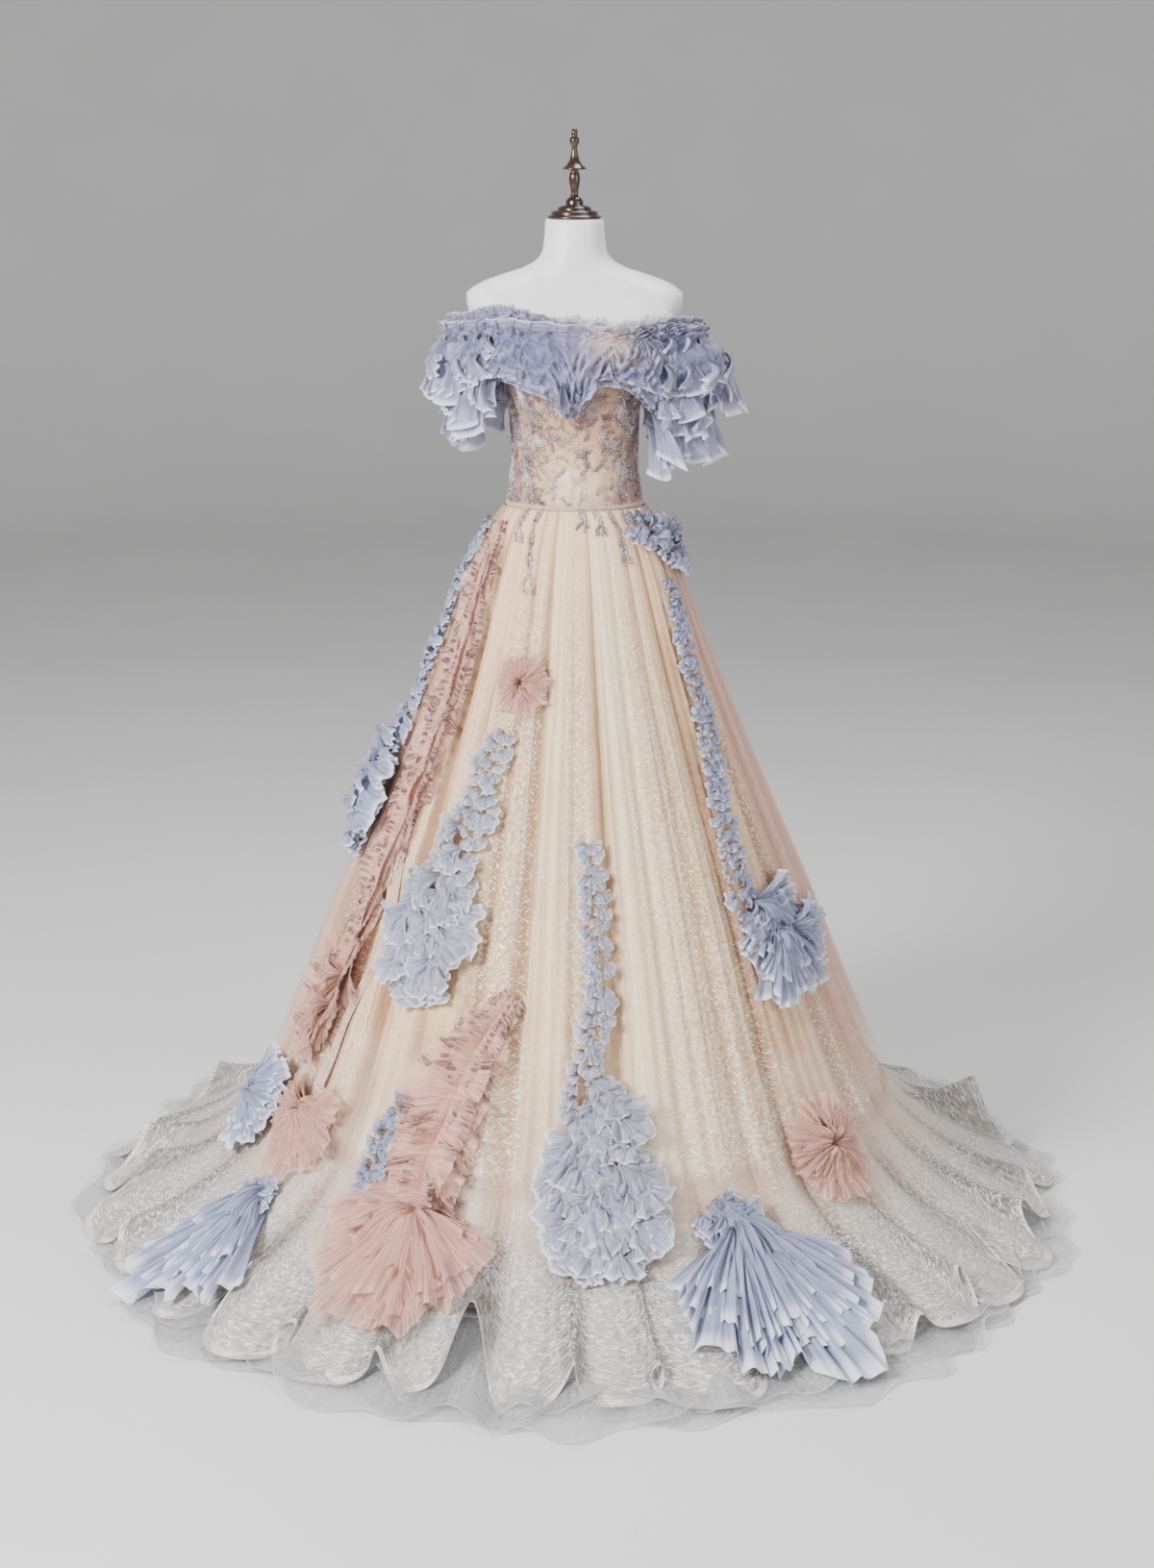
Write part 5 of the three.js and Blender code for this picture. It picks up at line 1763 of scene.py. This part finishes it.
@dataclass
class Rosette:
    """A round rosette of long fine petals about a knot.

    Attributes:
        name: the solid's name, which the piece takes with an ending.
        slot: its material slot.
        finish: its finish.
        at: angle of the knot.
        z: height of the knot, in millimetres.
        half: half width.
        tall: half height.
        high: height of its frills.
        hang: how much more its petals point down than up, from 0 to 1.
        seed: start of the noise.
    """

    name: str
    slot: Slot
    finish: str
    at: float
    z: float
    half: float
    tall: float
    high: float
    hang: float
    seed: int

    def build(self, finishes: Finishes) -> None:
        """Makes the rosette in three rings of petals, the inner ones shorter and more upright.

        Args:
            finishes: the gown's materials.
        """
        rng = np.random.default_rng(self.seed)
        weaves = []
        for share, count, stand in ((1.0, 9, 0.55), (0.76, 8, 0.85), (0.5, 7, 1.0)):
            turn = half_turn((np.arange(count) + rng.uniform(-0.25, 0.25, count)) * 360 / count)
            turn = turn * (1 - 0.6 * self.hang)
            centre = on_crests(np.full(count, self.at), np.full(count, self.z))
            reach = np.hypot(np.cos(np.radians(turn)) * self.tall, np.sin(np.radians(turn)) * self.half)
            weaves += Petals(centre, turn, rng.uniform(34, 48, count), reach * share * MM,
                             np.full(count, self.high * stand * 0.8 * MM), rng.uniform(5, 8, count),
                             np.full(count, 0.55 + 0.4 * (1 - share)), rng, rows=8, columns=44,
                             swing=0.06).weaves()
        sew(f"{self.name}_tulle", weaves, self.slot, finishes[self.finish], FRILLED, (self.name,))


@dataclass
class Ruffles:
    """All the applied ruffles and rosettes.

    Attributes:
        hues: the slot and the finish of each hue in the tables.
    """

    hues: dict[str, tuple[Slot, str]] = field(default_factory=lambda: {
        "blue": (Slot.BLUE, "tulle_blue"),
        "pale": (Slot.BLUE, "tulle_pale"),
        "pink": (Slot.PINK, "tulle_pink")})

    def build(self, finishes: Finishes) -> None:
        """Makes each ruffle and rosette.

        Args:
            finishes: the gown's materials.
        """
        for k, (name, kind, hue, *shape) in enumerate(RUFFLES):
            Ruffle(name, kind, *self.hues[hue], *shape, k + 1).build(finishes)
        for k, (name, hue, *shape) in enumerate(ROSETTES):
            Rosette(name, *self.hues[hue], *shape, 40 + k).build(finishes)


# Collar and sleeves


def collar_at(angle: np.ndarray, down: np.ndarray | float) -> np.ndarray:
    """Points of the collar.

    Args:
        angle: degrees.
        down: -1 at its top edge, 0 at its stitching and 1 at its lower edge.

    Returns:
        Points in metres.
    """
    down = np.broadcast_to(down, angle.shape)
    line = curves(COLLAR_LINES, "angle", half_turn(angle))
    row = curves(COLLAR_ROWS, "down", down)
    height = NECKLINE + (np.where(down < 0, line["top"], line["bottom"]) - NECKLINE) * np.abs(down)
    return on_form(half_turn(angle), height, row["root"] * line["root"] + row["out"] * line["out"])


@dataclass
class Collar:
    """Off-the-shoulder collar of crumpled tulle over frilled sleeves.

    Attributes:
        columns: points round the collar.
        rows: lines down it.
        crush: metres of its crumpled folds.
        layers: lift off the stitching in metres, and start of the folds, of each layer.
        ruffs: for the strips on it: place between its edges, lean, length, swing and period.
        tiers: for the sleeves' hanging petals: the same place, number, length and lift.
        strips: for their hanging frills: the same place, millimetres below it, and length.
        arm: angles between which the sleeves' frills hang.
        groups: for the falls: angle, place, number, length, spread, heading and unevenness.
    """

    columns: int = 600
    rows: int = 40
    crush: float = 0.014
    layers: tuple = ((0.001, 31), (0.0055, 37))
    ruffs: tuple = ((-0.86, (60, 26), 0.018, 0.26, 0.021), (-0.6, (74, 48), 0.016, 0.24, 0.026),
                    (-0.3, (58, 20), 0.024, 0.3, 0.052), (0.15, (50, 10), 0.026, 0.3, 0.044),
                    (0.55, (44, 6), 0.024, 0.26, 0.037), (0.96, (20, 6), 0.012, 0.2, 0.024))
    tiers: tuple = ((-0.4, 7, 38, 14), (0.3, 8, 50, 24), (0.9, 9, 56, 22))
    strips: tuple = ((-0.45, 0, 40), (-0.1, 0, 46), (0.2, 0, 50), (0.45, 0, 50), (0.7, 0, 52),
                     (0.95, 0, 54), (1.0, 20, 50), (1.0, 40, 40))
    arm: tuple[float, float] = (54, 130)
    groups: tuple = ((-5.5, 0.5, 3, 54, 9, 0.0, 0.5), (32.0, -0.35, 5, 84, 26, 24.0, 1.4),
                     (44.0, -0.1, 5, 80, 24, 16.0, 1.2), (-46.0, -0.3, 4, 60, 30, 20.0, 1.0))

    def crumple(self, angle: np.ndarray, down: np.ndarray, seed: int) -> np.ndarray:
        """Uneven draped folds: slanting waves that bend about noise and sharpen on their ridges.

        Args:
            angle: degrees.
            down: place between the collar's edges.
            seed: start of the folds.

        Returns:
            Height of the folds, about 1 on a ridge.
        """
        turn = np.radians(angle)
        bend = np.sin(turn * 9 + seed) + 0.7 * np.sin(turn * 23 + 2 * seed + 2 * down)
        more = np.sin(turn * 14 + 3 * seed) + 0.6 * np.sin(turn * 31 + seed - 3 * down)
        first = np.sin(down * 8 + turn * 13 + 1.6 * bend)
        second = np.sin(down * 13 - turn * 17 + 1.8 * more + seed)
        fine = np.sin(down * 24 + turn * 41 + 2.4 * bend) * np.sin(turn * 19 + down * 7 + more)
        return (0.6 * (1 - np.abs(first)) ** 2 + 0.5 * (1 - np.abs(second)) ** 2
                + 0.3 * (1 - np.abs(fine)) ** 2.5 + 0.12 * np.sin(turn * 47 + 3 * bend))

    def strip(self, root: np.ndarray, toward: float, length: np.ndarray | float, *shape: object,
              stand: float = 0.0, rows: int = 6) -> Weave:
        """A gathered strip that stands up or hangs down from a level line.

        Args:
            root: points of its stitching.
            toward: 1 for a strip that stands up and -1 for one that hangs.
            length: metres from stitching to edge.
            shape: lean, period, swing and start of the noise, as a frill has them.
            stand: metres by which the stitching stands out.
            rows: points from stitching to edge.

        Returns:
            The grid, its face outwards.
        """
        out = unit(root * LEVEL)
        away = np.broadcast_to(np.array([0.0, 0.0, toward]), root.shape)
        length = np.broadcast_to(length, root.shape[:1])
        made = Frill(root + out * stand, out, away, length, *shape, rows=rows).weave()
        return made.flipped(0) if toward > 0 else made

    def drape(self, finishes: Finishes) -> None:
        """The collar's two layers with ruffled strips on and between its edges.

        Args:
            finishes: the gown's materials.
        """
        weaves = []
        angle = ring_of(self.columns, self.rows)
        for k, (lift, seed) in enumerate(self.layers):
            down = falling(-1, 1 - 0.06 * k, self.rows, self.columns)
            points = collar_at(angle, down)
            fold = self.crumple(angle, down, seed)
            calm = np.clip(np.abs(down) * 2.4 + 0.15, 0, 1)
            points = points + normals_of(points) * (lift + self.crush * fold * calm)[..., None]
            edge = np.abs(down) ** 4 * 0.9
            # The fold height is stored as crest, for painted light on the crumpled ridges and painted shade
            # between them.
            weaves.append(Weave(points, run_of(points) * 1.3, edge, np.clip(fold * 1.1, 0, 1), True))
        turn = np.linspace(-180, 180, self.columns)
        for down, rise, length, swing, period in self.ruffs:
            toward = -1.0 if down > 0 else 1.0
            weaves.append(self.strip(collar_at(turn, down), toward, length, rise, period, swing,
                                     70 + len(weaves)))
        places = np.concatenate([w.points.reshape(-1, 3) for w in weaves])
        around = np.degrees(np.arctan2(places[:, 0], -places[:, 1]))
        sew("collar_drape", weaves, Slot.LAVENDER, finishes["tulle_crumpled"],
            Cut(0.34, Held.DRAPED, "bodice_shell"),
            tuple(f"collar_{part}" for part in ("front_left", "front_right", "back_right", "back_left")),
            warm=bell(around, 27, 17) * np.clip((places[:, 2] - 1.452) / 0.05, 0, 1))

    def hanging(self, knots: np.ndarray, normal: np.ndarray, heading: np.ndarray, spread: np.ndarray,
                length: np.ndarray, high: np.ndarray, rng: np.random.Generator) -> list[Weave]:
        """Petals that hang freely from knots.

        Args:
            knots: points of the knots, in metres.
            normal: direction out at each knot.
            heading: degrees from straight down towards the right.
            spread: degrees from the middle of a petal to each side.
            length: metres from knot to edge.
            high: metres that a petal stands out.
            rng: source of the noise.

        Returns:
            One grid for each petal.
        """
        pleats = 4.0 + rng.uniform(-0.8, 0.8, len(knots))
        return Petals(knots, heading, spread, length, high, pleats, rng.uniform(0.6, 0.95, len(knots)), rng,
                      rows=8, columns=22, swing=0.13).weaves(normal)

    def sleeve(self, finishes: Finishes, side: int) -> None:
        """One sleeve: tiers of petals that hang over one another round the arm and stand off the form.

        Args:
            finishes: the gown's materials.
            side: -1 for the left sleeve and 1 for the right one.
        """
        rng = np.random.default_rng(90 + side)
        weaves = []
        for down, count, length, lift in self.tiers:
            turn = np.linspace(*self.arm, count) + rng.normal(0, 1.6, count)
            place = collar_at(turn * side, down)
            normal = unit(place * LEVEL)
            place = place + normal * (0.002 + 0.001 * rng.standard_normal(count))[:, None]
            weaves += self.hanging(place, normal, rng.normal(10 * side, 20, count),
                                   rng.uniform(30, 50, count),
                                   length * rng.uniform(0.7, 1.2, count) * MM,
                                   lift * rng.uniform(0.6, 1.2, count) * MM, rng)
        count = 260
        for down, drop, length in self.strips:
            turn = np.linspace(self.arm[0] + rng.uniform(-4, 4), self.arm[1], count)
            root = collar_at(turn if side > 0 else -turn[::-1], down) - np.array([0.0, 0.0, drop * MM])
            uneven = 1 + 0.3 * wander(rng, count, 6) + 0.2 * wander(rng, count, 18)
            drops = length * MM * np.clip(uneven, 0.35, 1.7)
            weaves.append(self.strip(root, -1.0, drops, (42, 2), rng.uniform(0.026, 0.038), 0.22,
                                     90 + 7 * len(weaves) + side, stand=-0.003, rows=7))
        name = "left" if side < 0 else "right"
        order = ("front", "outer", "back")[::side]
        sew(f"sleeve_{name}_frills", weaves, Slot.LAVENDER, finishes["tulle_lavender"],
            Cut(0.05, Held.GATHERED, "collar_drape"), tuple(f"sleeve_{name}_{part}" for part in order))

    def falls(self, finishes: Finishes) -> None:
        """The pointed tail left of the middle and the pleated fall right of it.

        Args:
            finishes: the gown's materials.
        """
        rng = np.random.default_rng(99)
        weaves = []
        for at, down, count, length, spread, heading, wide in self.groups:
            place = collar_at(at + rng.normal(0, 2.5 * wide, count), down)
            normal = unit(place * LEVEL)
            weaves += self.hanging(place + normal * 0.006, normal, heading + rng.normal(0, 7 * wide, count),
                                   spread * rng.uniform(0.8, 1.2, count),
                                   length * rng.uniform(0.75, 1.0, count) * MM, np.full(count, 0.014), rng)
        sew("collar_falls", weaves, Slot.LAVENDER, finishes["tulle_lavender"],
            Cut(0.06, Held.HUNG, "collar_drape"))
        edge = self.strip(collar_at(np.linspace(-3, 42, 160), -0.8), 1.0, 0.026, (50, 14), 0.034, 0.26, 57,
                          stand=0.008)
        sew("collar_edge_white", [edge], Slot.LAVENDER, finishes["tulle_white"],
            Cut(0.026, Held.GATHERED, "collar_drape"))

    def build(self, finishes: Finishes) -> None:
        """Makes the collar, its falls and both sleeves.

        Args:
            finishes: the gown's materials.
        """
        self.drape(finishes)
        self.falls(finishes)
        for side in (-1, 1):
            self.sleeve(finishes, side)


# Beaded lace


@dataclass
class Lace:
    """Beaded sprays of short strokes over the bodice, with trails that run on below the waist.

    Attributes:
        silver: number of silver sprays over the bodice.
        mauve: number of mauve sprays.
        beads: number of sprays of loose beads.
        to_spray: strokes to a spray.
        pace: millimetres of stem to a stroke.
        stroke: length, width and thickness of a stroke, in millimetres.
        bead: radius of a bead.
        trails: points of each trail below the waist, by angle and height.
        to_mark: strokes for each point of a trail.
        seed: start of the noise.
    """

    silver: int = 430
    mauve: int = 400
    beads: int = 190
    to_spray: int = 9
    pace: float = 2.6
    stroke: tuple[float, float, float] = (8.4, 2.0, 1.6)
    bead: float = 1.5
    trails: tuple = (((-27, 1236), (-30, 1206), (-28.5, 1180), (-27, 1150), (-26, 1126), (-24, 1098)),
                     ((4, 1234), (7, 1216), (5, 1200)), ((15, 1232), (19, 1212), (17, 1190)),
                     ((26, 1238), (31, 1200), (31, 1170), (31.5, 1144)),
                     ((-40, 1236), (-42, 1204), (-38, 1178)), ((152, 1236), (154, 1200), (151, 1160)),
                     ((-154, 1236), (-152, 1196), (-155, 1150)))
    to_mark: int = 17
    seed: int = 8

    def place(self, angle: np.ndarray, height: np.ndarray) -> np.ndarray:
        """The cloth's surface: the bodice's above the waist and the skirt's below."""
        above = on_form(angle, np.maximum(height, 1230.0), 2.4)
        return np.where((height > 1232.0)[..., None], above, on_crests(angle, np.minimum(height, WAIST_LOW)))

    def thick(self, angle: np.ndarray, height: np.ndarray) -> np.ndarray:
        """How thick the sprays lie: dense at the sides and over the bust, open at the middle of the waist.

        Args:
            angle: degrees.
            height: millimetres.

        Returns:
            0 where there are none, up to about 1.5.
        """
        turn = np.abs(half_turn(angle))
        bust = bell(height, 1404, 26) * bell(turn, 0, 46)
        stems = 0.5 + 0.5 * np.sin(turn / 5.2 + 1.8 * np.sin(height / 21))
        clear = 1 - 0.85 * bell(turn, 0, 15) * bell(height, 1262, 26)
        top = np.clip((1452 - height) / 14, 0, 1)
        return (0.9 * bell(turn, 52, 26) + 0.7 * bust + 0.24) * (0.25 + 0.9 * stems) * clear * top

    def spindles(self, angle: np.ndarray, height: np.ndarray, heading: np.ndarray, size: np.ndarray
                 ) -> tuple[np.ndarray, np.ndarray]:
        """Small pointed spindles of eight faces on the cloth.

        Args:
            angle: degrees of each middle.
            height: millimetres of each middle.
            heading: radians of each from upright towards the right.
            size: half length, half width and half thickness of each, in millimetres.

        Returns:
            Points and triangles.
        """
        middle = self.place(angle, height)
        right = unit(self.place(angle + 1, height) - self.place(angle - 1, height))
        out = unit(np.cross(right, unit(self.place(angle, height + 2) - self.place(angle, height - 2))))
        up = np.cross(out, right)
        cos, sin = np.cos(heading)[:, None], np.sin(heading)[:, None]
        long, wide = up * cos + right * sin, right * cos - up * sin
        size = size * MM
        middle = middle + out * size[:, 2:] * 0.6
        tips = [long * size[:, :1], wide * size[:, 1:2], -long * size[:, :1], -wide * size[:, 1:2],
                out * size[:, 2:], -out * size[:, 2:]]
        points = np.stack([middle + tip for tip in tips], 1)
        corners = np.array([(4, k, (k + 1) % 4) for k in range(4)] + [(5, (k + 1) % 4, k) for k in range(4)])
        faces = corners[None] + 6 * np.arange(len(middle))[:, None, None]
        return points.reshape(-1, 3), faces.reshape(-1, 3)

    def sprays(self, rng: np.random.Generator, count: int) -> tuple[np.ndarray, np.ndarray, np.ndarray]:
        """Strokes in sprays: each spray has a bent stem with strokes slanting off it on both sides.

        Args:
            rng: source of the noise.
            count: number of sprays.

        Returns:
            Angle and height of each stroke, and its heading in radians from upright towards the right.
        """
        tries = count * 8
        angle, height = rng.uniform(-180, 180, tries), rng.uniform(1242, 1458, tries)
        kept = rng.uniform(0, 1.3, tries) < self.thick(angle, height)
        angle, height = angle[kept][:count, None], height[kept][:count, None]
        stem = 0.55 * np.sign(half_turn(angle)) + 0.8 * np.sin(height / 19 + angle / 6)
        stem = stem + rng.normal(0, 0.5, angle.shape)
        step = np.arange(self.to_spray)[None, :] - self.to_spray / 2
        side = np.where(np.arange(self.to_spray) % 2 == 0, 1.0, -1.0)[None, :]
        bent = stem + 0.09 * step * rng.choice([-1.0, 1.0], stem.shape)
        across = np.sin(bent) * step * self.pace + np.cos(bent) * 1.7 * side
        rise = np.cos(bent) * step * self.pace - np.sin(bent) * 1.7 * side
        heading = bent + side * (0.7 + rng.normal(0, 0.2, (len(angle), self.to_spray)))
        angles, heights = angle + across / 105 * 57.3, height + rise
        return angles.ravel(), np.clip(heights, 1238, 1470).ravel(), heading.ravel()

    def trail(self, rng: np.random.Generator) -> tuple[np.ndarray, ...]:
        """Strokes along the trails, slanting off both sides, in bunches that end in a small flower.

        Args:
            rng: source of the noise.

        Returns:
            Angle, height and heading of each stroke, as the sprays have them.
        """
        lines = []
        for line in self.trails:
            angle, height = np.array(line, float).T
            marks = np.arange(len(line))
            count = self.to_mark * len(line)
            where = np.linspace(0, len(line) - 1, count)
            wide = 0.8 + 1.5 * np.sin(where * 2.6) ** 2 + 2.6 * bell(where - len(line) + 1.3, 0, 0.45)
            side = np.where(np.arange(count) % 2 == 0, 1.0, -1.0)
            lines.append((np.interp(where, marks, angle) + side * wide * rng.uniform(0.2, 1.0, count),
                          np.interp(where, marks, height) + rng.normal(0, 1.2, count),
                          math.pi - side * (0.6 + rng.normal(0, 0.25, count))))
        return tuple(np.concatenate(parts) for parts in zip(*lines))

    def build(self, finishes: Finishes) -> None:
        """Makes the sprays in a silver and a mauve piece, and the loose beads in a third.

        Args:
            finishes: the gown's materials.
        """
        rng = np.random.default_rng(self.seed)
        half = np.array(self.stroke) / 2
        for name, finish, count, size in (("lace_strokes_silver", "bead_silver", self.silver, half),
                                          ("lace_strokes_mauve", "leaf_mauve", self.mauve, half),
                                          ("lace_beads", "bead_silver", self.beads, np.full(3, self.bead))):
            parts = zip(self.sprays(rng, count), self.trail(rng))
            angle, height, heading = (np.concatenate(part) for part in parts)
            sizes = size[None] * rng.uniform(0.7, 1.2, (len(angle), 1))
            made = new_object(name, *self.spindles(angle, height, heading, sizes))
            settle(made, Slot.BODICE, finishes[finish])


# Stage


@dataclass
class Studio:
    """Pale floor and backdrop, soft lights and the camera.

    Attributes:
        eye: the camera's place, in metres.
        pitch: degrees that it looks down.
        lens: focal length in millimetres for a 36 mm long side.
        sweep: radius and height of the backdrop, that stands all round and runs into the floor.
        lamps: place, size in metres and power in watts of each lamp.
        aim: the point that the lamps look at.
        air: colour and strength of the light from all round.
    """

    eye: tuple[float, float, float] = (0.004, -4.263, 1.847)
    pitch: float = 14.5
    lens: float = 58.9
    sweep: tuple = ((9.6, 8.0), (9.6, 2.2), (9.4, 1.1), (8.9, 0.4), (8.2, 0.08), (7.6, 0.0), (2.5, 0.0),
                    (0.0, 0.0))
    lamps: tuple = (("key", (-2.8, -3.2, 3.0), 1.5, 400), ("fill", (3.2, -2.8, 2.2), 3.0, 80),
                    ("top", (0.6, 0.6, 4.4), 1.8, 120))
    aim: tuple[float, float, float] = (0.0, 0.0, 0.8)
    air: tuple = ((1.0, 0.98, 0.96, 1.0), 0.2)

    def light(self, name: str, place: tuple[float, float, float], size: float, power: float) -> None:
        """A large soft lamp that looks at the gown's middle.

        Args:
            name: the lamp's name.
            place: its place, in metres.
            size: its side, in metres.
            power: its power, in watts.
        """
        lamp = bpy.data.lights.new(name, "AREA")
        lamp.shape, lamp.size, lamp.energy = "SQUARE", size, power
        made = bpy.data.objects.new(name, lamp)
        ahead = unit(np.array(self.aim) - np.array(place))
        made.rotation_euler = (math.acos(-ahead[2]), 0.0, math.atan2(-ahead[0], ahead[1]))
        made.location = place
        made.visible_camera = False
        bpy.context.scene.collection.objects.link(made)

    def floor(self) -> None:
        """The paper floor that bends up into the backdrop, with a faint mottle."""
        radius, height = np.array(self.sweep)[:, :, None].transpose(1, 0, 2)
        columns = 96
        points = about_axis(radius, np.radians(ring_of(columns)), height)
        faces = faces_of(len(radius), columns, True)[:, ::-1]
        made = new_object("studio_floor", points.reshape(-1, 3), faces)
        g = Graph("studio_paper")
        colour = g.blend((0.78, 0.78, 0.78), (0.8, 0.8, 0.8), g.noise(g.place(), 2.0, 3).ease(0.35, 0.7))
        made.data.materials.append(g.close({"Base Color": colour, "Roughness": 0.93}))

    def build(self) -> None:
        """Makes the stage, its lights and the camera."""
        self.floor()
        for lamp in self.lamps:
            self.light(*lamp)
        world = bpy.data.worlds.new("studio_air")
        world.use_nodes = True
        for socket, value in zip(world.node_tree.nodes["Background"].inputs, self.air):
            socket.default_value = value
        bpy.context.scene.world = world
        camera = bpy.data.cameras.new("camera")
        camera.lens, camera.sensor_width, camera.sensor_fit = self.lens, 36.0, "AUTO"
        seen = bpy.data.objects.new("camera", camera)
        seen.location = self.eye
        seen.rotation_euler = (math.radians(90 - self.pitch), 0.0, 0.0)
        bpy.context.scene.collection.objects.link(seen)
        bpy.context.scene.camera = seen


def main() -> None:
    """Builds the gown from the inside out."""
    logging.basicConfig(level=logging.INFO, format="%(name)s %(message)s")
    finishes = Finishes()
    for part in (DressForm(), Bodice(), Lace(), Skirt(), Flounce(), Ruffles(), Collar()):
        part.build(finishes)
    Studio().build()


if __name__ == "__main__":
    main()
